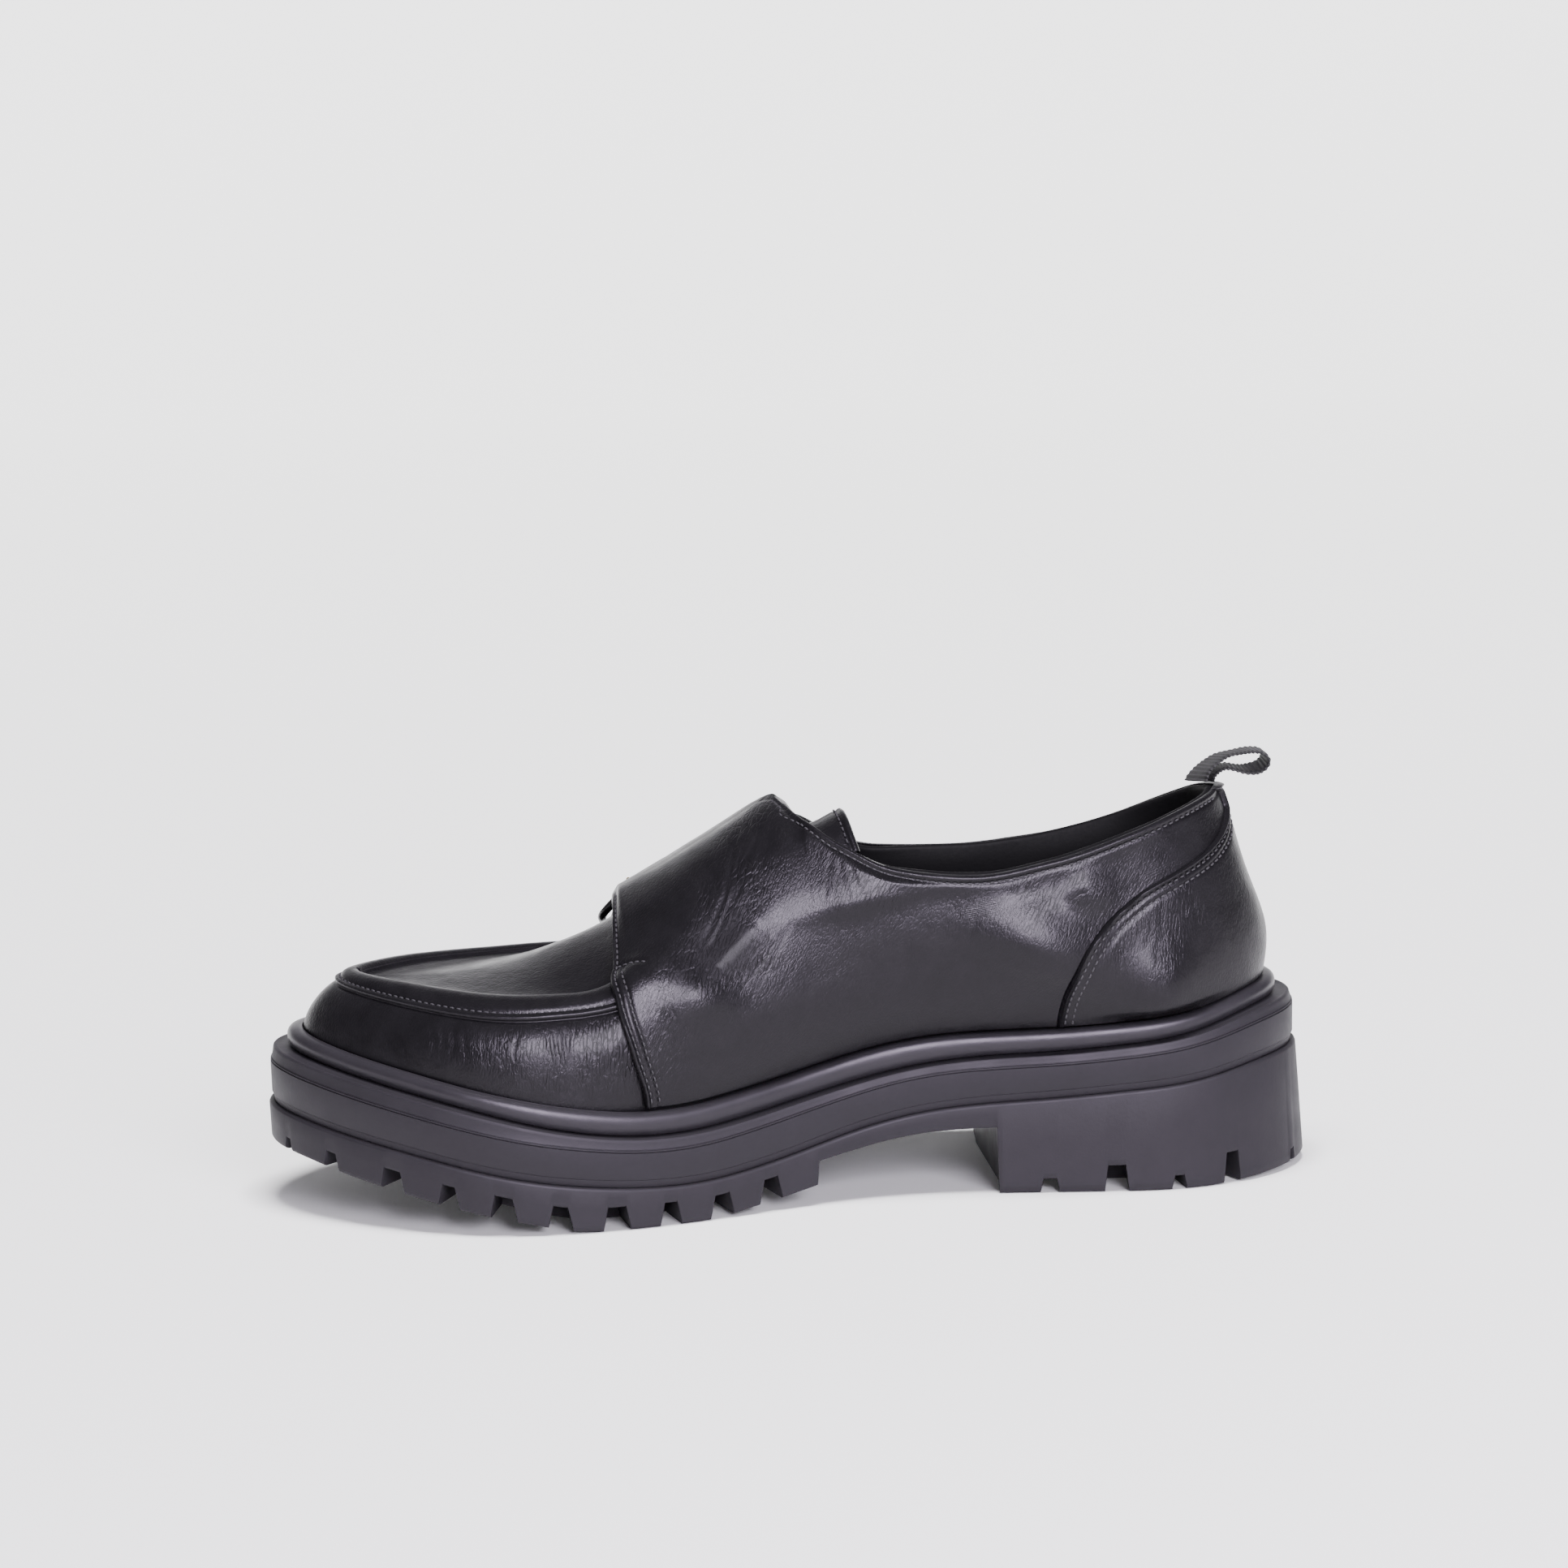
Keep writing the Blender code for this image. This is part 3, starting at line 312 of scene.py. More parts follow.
def lining_material():
    """Matt synthetic lining with a fine even grain, in black cloth darkened further as painted shade for
    the inside of the shoe.
    """
    material, tree, base = shader("lining_cloth", Specular_IOR_Level=0.12)
    grain = noise(tree, 1100.0, 4.0, 0.6)
    mottle(tree, base, grain, LINING_SHADED_DARK, LINING_SHADED_LIGHT)
    tree.links.new(spread(tree, grain, 0.2, 0.8, 0.55, 0.75), base.inputs["Roughness"])
    bumped(tree, base, (grain, 0.00006))
    return material


rubber = rubber_material("sole_rubber", 0.17, 0.46, 0.58)
bead_rubber = rubber_material("bead_rubber", 0.30, 0.32, 0.42)
lining = lining_material()

# %% Tape, thread and metals
TAPE_DARK, TAPE_LIGHT = (0.012, 0.0115, 0.0125), (0.030, 0.029, 0.031)
THREAD_DARK, THREAD_LIGHT = (0.022, 0.0205, 0.0235), (0.046, 0.043, 0.049)
LACQUER_DARK, LACQUER_LIGHT = (0.010, 0.010, 0.011), (0.018, 0.018, 0.019)
GOLD_DARK, GOLD_LIGHT = (0.66, 0.47, 0.17), (0.80, 0.60, 0.26)


def tape_material(name, dark, light):
    """Woven thread: the fine fibres of its yarn, seen as noise of a third of a millimetre."""
    material, tree, base = shader(name, Specular_IOR_Level=0.35)
    fibre = noise(tree, 2600.0, 3.0, 0.6)
    mottle(tree, base, fibre, dark, light)
    tree.links.new(spread(tree, fibre, 0.2, 0.8, 0.5, 0.7), base.inputs["Roughness"])
    bumped(tree, base, (fibre, 0.00005))
    return material


def metal_material(name, dark, light, metallic, low, high):
    """Polished metal whose roughness wanders with fine rub marks."""
    material, tree, base = shader(name, Metallic=metallic)
    rubbed = noise(tree, 700.0, 3.0, 0.6)
    mottle(tree, base, rubbed, dark, light)
    tree.links.new(spread(tree, rubbed, 0.3, 0.7, low, high), base.inputs["Roughness"])
    return material


tape = tape_material("woven_tape", TAPE_DARK, TAPE_LIGHT)
thread = tape_material("black_thread", THREAD_DARK, THREAD_LIGHT)
black_metal = metal_material("black_lacquer", LACQUER_DARK, LACQUER_LIGHT, 0.2, 0.18, 0.30)
gold_metal = metal_material("gold_tone", GOLD_DARK, GOLD_LIGHT, 1.0, 0.16, 0.26)
print("materials:", len(bpy.data.materials))

# %% [markdown]
# ## The sole's plan and tiers
# A sole is drawn as one outline from above and a set of heights along its length. Distances run from the
# heel back. The outline is two half widths, rounded off at heel and toe by the arc of a circle.

# %% Plan and heights of the sole
SOLE_LENGTH, HEEL_START, TOE_END = 278.0, 2.6, 277.0
HEEL_ROUND, TOE_ROUND = 46.0, 75.0
CENTRE_X, CENTRE_Y = 0.15, 0.55
MEDIAL, LATERAL = -1, 1
NUDGE, UPRIGHT, END_REACH = 0.01, 1e6, 0.25

PLAN = np.array([
    (0, 33.0, 33.0), (45, 33.0, 34.0), (85, 29.5, 35.0), (110, 29.0, 37.0), (135, 34.0, 41.0),
    (160, 43.0, 46.5), (185, 50.0, 51.0), (205, 52.0, 53.0), (225, 51.5, 53.0), (250, 48.0, 49.0),
    (278, 43.0, 39.0),
])

# From the heel back: tread of the lugs, roof of the arch, split line, ledge, step, feather line
LEVELS = np.array([
    (0, 2.2, 17.6, 33.0, 44.0, 46.5, 51.5), (15, 0.9, 17.6, 32.0, 42.6, 45.1, 49.6),
    (30, 0.0, 17.6, 29.4, 39.3, 41.6, 46.4), (50, 0.0, 17.6, 27.2, 36.5, 38.7, 44.1),
    (70, 0.0, 17.6, 25.5, 34.8, 37.0, 42.7), (87, 0.0, 17.6, 24.4, 34.0, 36.2, 42.1),
    (107, 15.0, 16.6, 22.3, 32.2, 34.2, 40.7), (125, 8.5, 13.4, 18.5, 28.6, 30.7, 37.2),
    (138, 4.3, 10.6, 15.0, 25.5, 27.8, 34.0), (152, 1.6, 7.8, 12.0, 22.5, 25.0, 31.2),
    (163, 0.0, 6.2, 10.6, 20.8, 23.5, 29.6), (178, 0.0, 6.0, 10.6, 20.5, 23.3, 29.3),
    (192, 0.0, 6.8, 11.8, 21.9, 24.8, 30.8), (210, 3.0, 9.5, 14.4, 24.9, 28.4, 34.0),
    (225, 6.0, 12.2, 17.3, 28.0, 31.9, 36.9), (240, 9.3, 14.9, 20.4, 31.2, 35.1, 39.9),
    (255, 12.5, 16.9, 23.1, 34.2, 38.0, 42.7), (268, 15.4, 18.6, 25.5, 36.8, 40.4, 45.1),
    (278, 16.8, 19.8, 27.2, 38.6, 42.0, 46.8),
])
LUG, BASE, SPLIT, LEDGE, STEP, FEATHER = range(1, 7)


def outline(u, side):
    """Centre line plus or minus half the width, times the two rounding arcs."""
    widths = spline(PLAN[:, 0], PLAN[:, 1:], u)
    centre = (widths[..., 1] - widths[..., 0]) / 2
    half = (widths[..., 1] + widths[..., 0]) / 2
    heel = np.clip(1 - (u - HEEL_START) / HEEL_ROUND, 0, 1)
    toe = np.clip((u - TOE_END + TOE_ROUND) / TOE_ROUND, 0, 1)
    return centre + side * half * np.sqrt((1 - heel ** 2) * (1 - toe ** 2))


def level(u, tier):
    """Height of a tier at a distance from the heel back."""
    return spline(LEVELS[:, 0], LEVELS[:, tier], u)


def edge(u, inset, side):
    """Outline moved in square to itself by the inset, and the inward direction there."""
    u = np.asarray(u, float)
    low = np.clip(u - NUDGE, HEEL_START, TOE_END)
    high = np.clip(u + NUDGE, HEEL_START, TOE_END)
    slope = (outline(high, side) - outline(low, side)) / (high - low)
    slope = np.where(u < HEEL_START + NUDGE / 2, side * UPRIGHT, slope)
    slope = np.where(u > TOE_END - NUDGE / 2, -side * UPRIGHT, slope)
    size = np.sqrt(1 + slope ** 2)
    in_u, in_y = side * slope / size, -side / size
    reach = inset * (1 + END_REACH * in_u ** 2)
    return u + reach * in_u, outline(u, side) + reach * in_y, in_u, in_y


# %% Places and loops of the sole
def place(u, y, z):
    """Shoe sizes in millimetres to the shared frame in metres."""
    x = SOLE_LENGTH / 2 - u - CENTRE_X
    return np.stack(np.broadcast_arrays(x, y - CENTRE_Y, z), -1) / 1000


def stations(count):
    """Places along the sole, close together at heel and toe as the cosine spreads them."""
    share = (1 - np.cos(np.linspace(0, np.pi, count))) / 2
    return HEEL_START + (TOE_END - HEEL_START) * share


def ring(u, inset, height):
    """Closed loop of the outline: heel back, medial side, toe tip, lateral side."""
    inset = np.broadcast_to(inset, u.shape)
    z = np.broadcast_to(height, u.shape)
    mu, my, _, _ = edge(u, inset, MEDIAL)
    lu, ly, _, _ = edge(u[1:-1], inset[1:-1], LATERAL)
    return np.concatenate([place(mu, my, z), place(lu, ly, z[1:-1])[::-1]])


def loops(rings, closed):
    """Numbers of the cells between loops; the last loop meets the first where the profile is closed."""
    count, loop = len(rings), len(rings[0])
    index = np.arange(count * loop).reshape(count, loop)
    index = np.concatenate([index, index[:, :1]], 1)
    if closed:
        index = np.concatenate([index, index[:1]], 0)
    return quads_of(index)


def ladder(loop, start):
    """Cells across a closed loop, from the medial to the lateral point of each station."""
    rungs = loop // 2
    near = np.arange(rungs + 1)
    far = (loop - near) % loop
    return quads_of(np.stack([near, far], 1)) + start


def stack(rings):
    """Closed stack of loops with a cover at both ends."""
    loop = len(rings[0])
    covers = [ladder(loop, 0), ladder(loop, loop * (len(rings) - 1))]
    return np.concatenate(rings), np.concatenate([loops(rings, False), *covers])


# %% [markdown]
# ## The outsole
# The bottom layer is a flared block heel, a raised arch and a forefoot that rolls up to the toe. Notches
# are moulded into its edge as lugs. Along the edge the tread is a row of teeth: a column of points stands
# at each corner of each notch, so the teeth are crisp and no cutting is needed.

# %% Outsole
HEEL_BREAST, HEEL_FLAT, WAIST_END, BALL_FLAT = 86.0, 29.0, 133.5, (163.0, 192.0)
HEEL_FLARE, BACK_FLARE, BACK_REACH, FORE_FLARE = 0.5, 1.6, 24.0, 0.2
NOTCH_DEPTH, LIP, KEEP_APART = 13.0, 0.9, 0.35

# Lugs: distance from the heel back, width at the floor, width at the root, height of the notch
NOTCHES = np.array([
    (7.0, 2.6, 1.6, 3.2), (24.0, 5.0, 3.4, 8.0), (38.5, 4.0, 2.4, 3.6), (55.0, 6.4, 4.6, 7.0),
    (72.5, 5.0, 3.4, 3.6), (146.5, 6.4, 3.6, 6.2), (159.5, 6.6, 3.8, 6.0), (173.0, 5.8, 3.2, 6.0),
    (187.0, 7.2, 4.6, 6.2), (201.5, 6.4, 3.6, 6.0), (216.0, 7.0, 4.4, 6.0), (230.0, 5.8, 3.2, 5.6),
    (244.5, 7.0, 4.6, 5.4), (260.5, 5.0, 3.0, 4.2), (272.0, 3.0, 1.8, 3.0),
])


def outsole_rings():
    """Loops from the split line down the wall, under the teeth and in to the flat tread."""
    slant = np.abs(edge(NOTCHES[:, 0], 0.0, MEDIAL)[3])[:, None]
    corners = NOTCHES[:, :1] + slant * NOTCHES[:, [1, 2, 2, 1]] * (-0.5, -0.5, 0.5, 0.5)
    heights = NOTCHES[:, 3:] * (0, 1, 1, 0)
    steps = np.array([HEEL_BREAST - 0.25, HEEL_BREAST + 0.25, WAIST_END - 0.5, WAIST_END + 0.5])
    fixed = np.concatenate([corners.ravel(), steps, BALL_FLAT])
    free = stations(240)
    apart = np.abs(free[:, None] - fixed).min(1) > KEEP_APART
    u = np.sort(np.concatenate([free[apart], fixed]))
    tooth = np.interp(u, corners.ravel(), heights.ravel())
    on_heel = u < HEEL_BREAST
    tread = np.where(on_heel | (u > WAIST_END), level(u, LUG), level(u, BASE))
    flat = (u > BALL_FLAT[0] - 0.1) & (u < BALL_FLAT[1] + 0.1) | on_heel & (u > HEEL_FLAT)
    tread = np.where(flat, 0.0, np.maximum(tread, 0.0))
    back = BACK_FLARE * np.clip(1 - u / BACK_REACH, 0, 1)
    flare = np.where(on_heel, HEEL_FLARE + back, FORE_FLARE)
    split = level(u, SPLIT)
    lip, low = split - LIP, tread + tooth
    profile = [(0.7, split), (0.4, split - 0.02), (0.05, split - 0.10), (-0.2, split - 0.32), (-0.4, lip)]
    for share in (0.5, 0.94, 1):
        profile.append((-0.4 + share * (0.4 - flare), lip + share * (low + 0.8 - lip)))
    profile += [(0.25 - flare, low + 0.25), (0.9 - flare, low)]
    profile += [(NOTCH_DEPTH, low), (NOTCH_DEPTH + 0.05, tread)]
    return [ring(u, inset, z) for inset, z in profile]


points, quads = stack(outsole_rings())
piece("outsole", points, quads, rubber, "outsole", 38)

# %% [markdown]
# ## The midsole
# The platform above the split is one moulding with several small steps in its side: an undercut, a tall
# wall, a pair of fine grooves, a low second wall and a sloping shelf that the bead sits on. Its profile is
# a list of (distance in, tier, height over the tier), carried round the outline.

# %% Midsole
MIDSOLE_SIDE = [
    (14.0, SPLIT, 0.05), (0.78, SPLIT, 0.05), (0.72, SPLIT, 0.16), (0.60, SPLIT, 1.90), (0.40, SPLIT, 2.10),
    (0.27, SPLIT, 2.35), (0.20, LEDGE, -1.30), (0.22, LEDGE, -0.75), (0.50, LEDGE, -0.62),
    (0.50, LEDGE, -0.48), (0.26, LEDGE, -0.36), (0.30, LEDGE, -0.16), (0.62, LEDGE, -0.05),
    (0.66, LEDGE, 0.08), (0.50, LEDGE, 0.20), (0.60, LEDGE, 0.45), (0.85, STEP, -1.00),
    (0.95, STEP, -0.45), (1.15, STEP, -0.18), (1.45, STEP, -0.10), (1.80, STEP, -0.20),
    (2.30, STEP, -0.36), (4.60, STEP, -0.30), (5.40, STEP, 0.00), (14.0, STEP, 0.05),
]
rims = stations(220)
points, quads = stack([ring(rims, inset, level(rims, tier) + over) for inset, tier, over in MIDSOLE_SIDE])
piece("midsole", points, quads, rubber, "midsole", 32)

# %% [markdown]
# ## The welt bead
# A round bead of rubber covers the seam between platform and upper. Its face is a half ellipse, and its
# back is tucked against the leather.

# %% Welt bead
GAP = 0.3
FEATHER_FRONT, FEATHER_REAR, FEATHER_FROM, FEATHER_OVER = 7.5, 8.8, 186.0, 16.0

# Middle and reach of the bead's face, above and below its fullest place
BEAD_ABOVE, BEAD_BELOW, BEAD_POWER = (6.5, 2.5), (4.7, 0.7), 0.75


def feather_inset(foot):
    """How far in from the outline the upper stands, more behind the ball than in front of it."""
    behind = ramp(0, 1, (FEATHER_FROM - foot) / FEATHER_OVER)
    return FEATHER_FRONT + (FEATHER_REAR - FEATHER_FRONT) * behind


def bead_rings(u):
    """Half ellipse above, a fuller cheek below: in = middle less reach times a power of the cosine."""
    low = level(u, STEP) + 0.1
    high = level(u, FEATHER)
    turn = np.radians(np.linspace(-88, 90, 19))
    rings = [ring(u, feather_inset(u) - GAP, low)]
    for angle in turn:
        middle, reach = BEAD_ABOVE if angle > 0 else BEAD_BELOW
        inset = middle - reach * np.cos(angle) ** BEAD_POWER
        rings.append(ring(u, inset, (low + high) / 2 + np.sin(angle) * (high - low) / 2))
    return rings + [ring(u, feather_inset(u) - GAP, high - 0.25)]


rings = bead_rings(rims)
piece("welt", np.concatenate(rings), loops(rings, True), bead_rubber, "welt")

# %% [markdown]
# ## The insole
# Inside lies a thin footbed, dished a little towards its middle.

# %% Insole
UPPER_WALL, BED_CLEAR = 2.0, 0.5
bed_in = feather_inset(rims) + UPPER_WALL + BED_CLEAR
bed_z = level(rims, STEP) + GAP
# Distance in from the edge, height over the underside
bed = [(0.3, 0.0), (0.0, 0.4), (0.0, 3.5), (0.3, 4.0), (1.0, 4.2), (3.0, 3.9), (6.0, 3.4), (11.0, 3.2)]
points, quads = stack([ring(rims, bed_in + inset, bed_z + high) for inset, high in bed])
piece("insole", points, quads, lining, "insole")

# %% [markdown]
# ## The skin of the upper
# The last that shapes the leather is one function of three numbers: the section s, from 0 at the toe tip
# to 17 at the heel back; the way up w, from 0 at the bead to 1 at the ridge or the collar; and the side.
# Each section has a foot on the sole, an end at the top, and four stages between.

# %% Sections of the last
LAST, RIDGE_END, FLAP_BACK = 17.0, 8.0, 9.6

# Foot, end from the heel back, medial and lateral end (sideways, height), four stages (distance in, height)
SECTIONS = np.array([
    (277.0, 243.0, -2.5, 58.8, -2.5, 58.8, 2.5, 52.0, 9.3, 58.2, 15.5, 59.2, 19.5, 58.9),
    (269.5, 238.5, -2.4, 58.8, -2.4, 58.8, 2.3, 50.8, 8.4, 57.6, 15.0, 59.0, 19.5, 58.7),
    (250.0, 229.0, -2.0, 59.0, -2.0, 59.0, 1.7, 48.3, 7.4, 55.9, 15.0, 58.6, 20.0, 58.3),
    (222.0, 214.0, -1.0, 60.7, -1.0, 60.7, 1.0, 45.3, 6.3, 53.8, 15.0, 57.4, 20.5, 57.7),
    (201.0, 199.5, 0.0, 65.3, 0.0, 65.3, 0.8, 43.0, 6.0, 53.8, 14.5, 57.2, 20.5, 58.8),
    (187.0, 187.0, 0.5, 70.5, 0.5, 70.5, 0.5, 43.0, 5.6, 54.8, 13.5, 59.2, 20.5, 63.2),
    (174.0, 175.0, 0.5, 78.2, 0.5, 78.2, -0.6, 44.0, 2.6, 58.0, 10.0, 67.5, 19.5, 74.0),
    (158.0, 158.0, 0.3, 89.2, 0.3, 89.2, -2.2, 45.5, 0.2, 60.5, 6.0, 74.5, 14.5, 84.0),
    (142.0, 141.0, 0.0, 98.7, 0.0, 98.7, -3.7, 48.0, -3.0, 63.0, 1.2, 79.5, 9.0, 91.5),
    (133.0, 134.0, -14.0, 98.0, 15.0, 95.0, -4.1, 49.5, -4.2, 63.0, -1.6, 78.0, 4.0, 90.0),
    (124.0, 123.5, -21.3, 92.6, 23.0, 87.0, -4.5, 51.0, -5.3, 63.0, -4.4, 75.0, -1.8, 85.5),
    (110.0, 111.0, -24.8, 87.5, 27.0, 83.4, -4.5, 52.0, -6.1, 62.0, -6.2, 72.0, -5.0, 80.5),
    (90.0, 90.0, -26.4, 85.4, 28.0, 83.0, -4.2, 53.0, -6.0, 62.0, -6.2, 71.0, -5.4, 79.0),
    (70.0, 70.0, -25.8, 88.5, 27.5, 84.8, -3.4, 53.0, -4.6, 62.0, -4.4, 72.0, -3.4, 81.0),
    (48.0, 48.5, -22.6, 94.7, 25.0, 90.0, -1.8, 54.0, -2.1, 64.0, -0.8, 75.0, 1.2, 86.0),
    (27.0, 35.0, -16.4, 99.0, 18.5, 96.0, -1.0, 56.0, -0.6, 66.0, 1.4, 77.5, 4.0, 89.0),
    (9.0, 27.0, -8.0, 101.3, 9.5, 100.4, -0.9, 58.0, 0.2, 68.0, 3.4, 80.0, 6.8, 92.0),
    (2.6, 24.0, 0.0, 102.0, 0.0, 102.0, -1.2, 60.0, 0.6, 69.5, 4.9, 81.0, 8.0, 92.0),
])
STAGES = np.array([0.0, 0.20, 0.42, 0.60, 0.76, 1.0, 1.24])
RIDGE_DRIFT = np.array([0.0, 0.05, 0.12, 0.33, 0.52, 1.0, 1.48])
COLLAR_DRIFT = np.array([0.0, 0.20, 0.42, 0.60, 0.80, 1.0, 1.20])


def end_at(s):
    """Ends of the sections on steady curves."""
    rows = np.arange(len(SECTIONS))
    return np.stack([steady(np.stack([rows, SECTIONS[:, k]], 1), s) for k in range(1, 6)], -1)


def ends_of(s):
    """The same; behind the ridge the leather is cut straight from half section to half section."""
    cut = (s > RIDGE_END) & (s < RIDGE_END + 1)
    first = np.where(cut, np.floor(2 * s) / 2, s)
    share = np.where(cut, 2 * (s - first), 0)[..., None]
    return end_at(first) * (1 - share) + end_at(np.where(cut, first + 0.5, s)) * share


def section(s):
    """Foot, end and stages of section s."""
    rows = np.arange(len(SECTIONS))
    foot = np.clip(spline(rows, SECTIONS[:, 0], s, True), HEEL_START, TOE_END)
    return foot, ends_of(s), spline(rows, SECTIONS[:, 6:], s, True)


# %% Outer face of the last
def wall(s, w, side):
    """Foot plus a distance in and a drift along the shoe, both splines of the way up through the stages."""
    s, w = np.broadcast_arrays(np.asarray(s, float), np.asarray(w, float))
    foot, ends, stages = section(s)
    u, y, in_u, in_y = edge(foot, feather_inset(foot), side)
    z = level(foot, FEATHER)
    medial_u, medial_y, medial_in_u, medial_in_y = edge(foot, feather_inset(foot), MEDIAL)
    reach_medial = (ends[..., 0] - medial_u) * medial_in_u + (ends[..., 1] - medial_y) * medial_in_y
    pick = 1 if side == MEDIAL else 3
    top_u, top_y, top_z = ends[..., 0], ends[..., pick], ends[..., pick + 1]
    reach = (top_u - u) * in_u + (top_y - y) * in_y
    drift_u = top_u - u - reach * in_u
    drift_y = top_y - y - reach * in_y
    collar = ramp(7.6, 9.4, s)
    share = (stages[..., 1::2] - z[..., None]) / (ends[..., 2] - z)[..., None]
    lean = np.where(side == MEDIAL, 0, reach - reach_medial)
    stage_in = stages[..., 0::2] + lean[..., None] * share
    stage_z = z[..., None] + share * (top_z - z)[..., None]
    past_in = 2 * reach - stage_in[..., 3]
    past_z = stage_z[..., 3] + collar * 2 * (top_z - stage_z[..., 3])
    across = np.concatenate([0 * z[..., None], stage_in, reach[..., None], past_in[..., None]], -1)
    up = np.concatenate([z[..., None], stage_z, top_z[..., None], past_z[..., None]], -1)
    drift = RIDGE_DRIFT + collar[..., None] * (COLLAR_DRIFT - RIDGE_DRIFT)
    weight = spline(STAGES, np.eye(len(STAGES)), np.clip(w, 0, 1))
    inward = (weight * across).sum(-1)
    along = (weight * drift).sum(-1)
    height = (weight * up).sum(-1) - np.clip(-w, 0, 1) * (z - level(foot, STEP) - GAP)
    over = y + inward * in_y + along * drift_y
    return np.stack([u + inward * in_u + along * drift_u, over, height], -1)


# %% Directions away from the last
STEP_S, STEP_W = 0.06, 0.004


def around(s, w, side):
    """The skin past the toe line or the heel line is the other side's skin."""
    over = ((s < 0) | (s > LAST))[..., None]
    folded = np.where(s > LAST, 2 * LAST - s, np.abs(s))
    return np.where(over, wall(folded, w, -side), wall(folded, w, side))


def square_to(s, w, side):
    """Direction square to the face: cross product of its two slopes, upright along the ridge."""
    s, w = np.broadcast_arrays(np.asarray(s, float), np.asarray(w, float))
    way = np.clip(w, 0, 1)
    along = around(s + STEP_S, way, side) - around(s - STEP_S, way, side)
    above, below = np.clip(way + STEP_W, 0, 1), np.clip(way - STEP_W, 0, 1)
    upward = wall(s, above, side) - wall(s, below, side)
    n = np.cross(along, upward) * side
    flat = ramp(0.80, 1.0, w) * (s <= RIDGE_END + 1e-6)
    flat = np.maximum(flat, ramp(0.60, 0.68, w) * (1 - ramp(0.5, 1.2, s)))
    n *= np.where((flat > 0) & (s < RIDGE_END) & (n[..., 2] < 0), -1, 1)[..., None]
    n[..., 1] *= 1 - flat
    n[..., 2] *= 1 - ramp(0.0, 0.06, 0.06 - way)
    n[..., 2] += 1e-9
    return unit(n)


def outward(s, w, side):
    """The same, and behind the ridge's end a blend of the directions at both ends of the cut edge."""
    s, w = np.broadcast_arrays(np.asarray(s, float), np.asarray(w, float))
    n = square_to(s, w, side)
    cut = (s > RIDGE_END + 1e-6) & (s < FLAP_BACK) & (w > 0.6)
    share = ((s[cut] - RIDGE_END) / (FLAP_BACK - RIDGE_END))[:, None]
    ends = [square_to(np.full(len(share), stop), w[cut], side) for stop in (RIDGE_END, FLAP_BACK)]
    mix = ramp(0.6, 0.9, w[cut])[:, None]
    n[cut] = n[cut] * (1 - mix) + (ends[0] * (1 - share) + ends[1] * share) * mix
    return n


def on_skin(sides, s, w):
    """Points of the face and their outward directions, in millimetres, for mixed sides."""
    near = (sides == MEDIAL)[:, None]
    face = np.where(near, wall(s, w, MEDIAL), wall(s, w, LATERAL))
    return face, np.where(near, outward(s, w, MEDIAL), outward(s, w, LATERAL))


def to_frame(p):
    """Millimetres (u, y, z) to the shared frame."""
    return place(p[..., 0], p[..., 1], p[..., 2])


# %% [markdown]
# ## Leather sheets over the skin
# Every panel is cut from that skin as one or more grids of (s, w). Grids that meet on the ridge, at the
# toe or at the heel share their points there. A sheet has an outer and an inner face, and a strip along
# each edge that only one cell uses. Near a cut edge the outer face rolls down as a quarter circle, and
# along a seam the thread pulls it into a shallow trough.

# %% Grids, joins and closed sheets
TROUGH, TROUGH_WIDE, BEAD_AT, BEAD_WIDE = 0.34, 0.55, 0.7, 0.45


def patch(side, s, w, keep=None):
    """One grid of the skin: side, s and w of its points, and its cells."""
    quads = quads_of(np.arange(s.size).reshape(s.shape))
    if keep is not None:
        quads = quads[keep.ravel()]
    return np.full(s.size, side), s.ravel(), w.ravel(), quads


def join(*patches):
    """Grids as one, with the points of ridge, toe line and heel line shared."""
    sides, s, w = (np.concatenate([p[k] for p in patches]) for k in range(3))
    starts = np.cumsum([0] + [len(p[0]) for p in patches[:-1]])
    quads = np.concatenate([p[3] + start for p, start in zip(patches, starts)])
    shared = (s < 1e-6) | (s > LAST - 1e-6) | ((w > 1 - 1e-6) & (s < RIDGE_END + 1e-6))
    key = np.stack([np.where(shared, 0, sides), np.round(s, 6), np.round(w, 6)], -1)
    _, first, back = np.unique(key, axis=0, return_index=True, return_inverse=True)
    return sides[first], s[first], w[first], back.reshape(-1)[quads]


def closed_sheet(outer, inner, quads):
    """Outer face, inner face turned over, and the strip between them along the rim."""
    edges = np.concatenate([quads[:, [k, (k + 1) % 4]] for k in range(4)])
    edges = edges[edges[:, 0] != edges[:, 1]]
    ends = np.sort(edges, axis=1)
    _, first, uses = np.unique(ends, axis=0, return_index=True, return_counts=True)
    rim = edges[first[uses == 1]]
    strip = np.concatenate([rim[:, ::-1], rim + len(outer)], 1)
    turned = quads[:, ::-1] + len(outer)
    return np.concatenate([outer, inner]), np.concatenate([quads, turned, strip])


def leather_piece(name, node, outer, inner, quads, lay, worn):
    """Closed sheet between two faces in millimetres; its marks are the same on both faces."""
    points, quads = closed_sheet(to_frame(outer), to_frame(inner), quads)
    marks = {"lay": np.concatenate([lay, lay]), "worn": np.concatenate([worn, worn])}
    piece(name, points, quads, leather, node, 60, marks)


# %% Edges and seams
def nearest(points, line):
    """Distance from each point to the nearest point of a line, worked in blocks."""
    blocks = np.array_split(points, 1 + len(points) * len(line) // 3_000_000)
    return np.concatenate([np.sqrt(((b[:, None] - line) ** 2).sum(-1).min(1)) for b in blocks])


def rolled(distance, radius):
    """Quarter circle: 0 at the edge, 1 at one radius from it."""
    return np.sqrt(1 - (1 - np.clip(distance / radius, 0, 1)) ** 2)


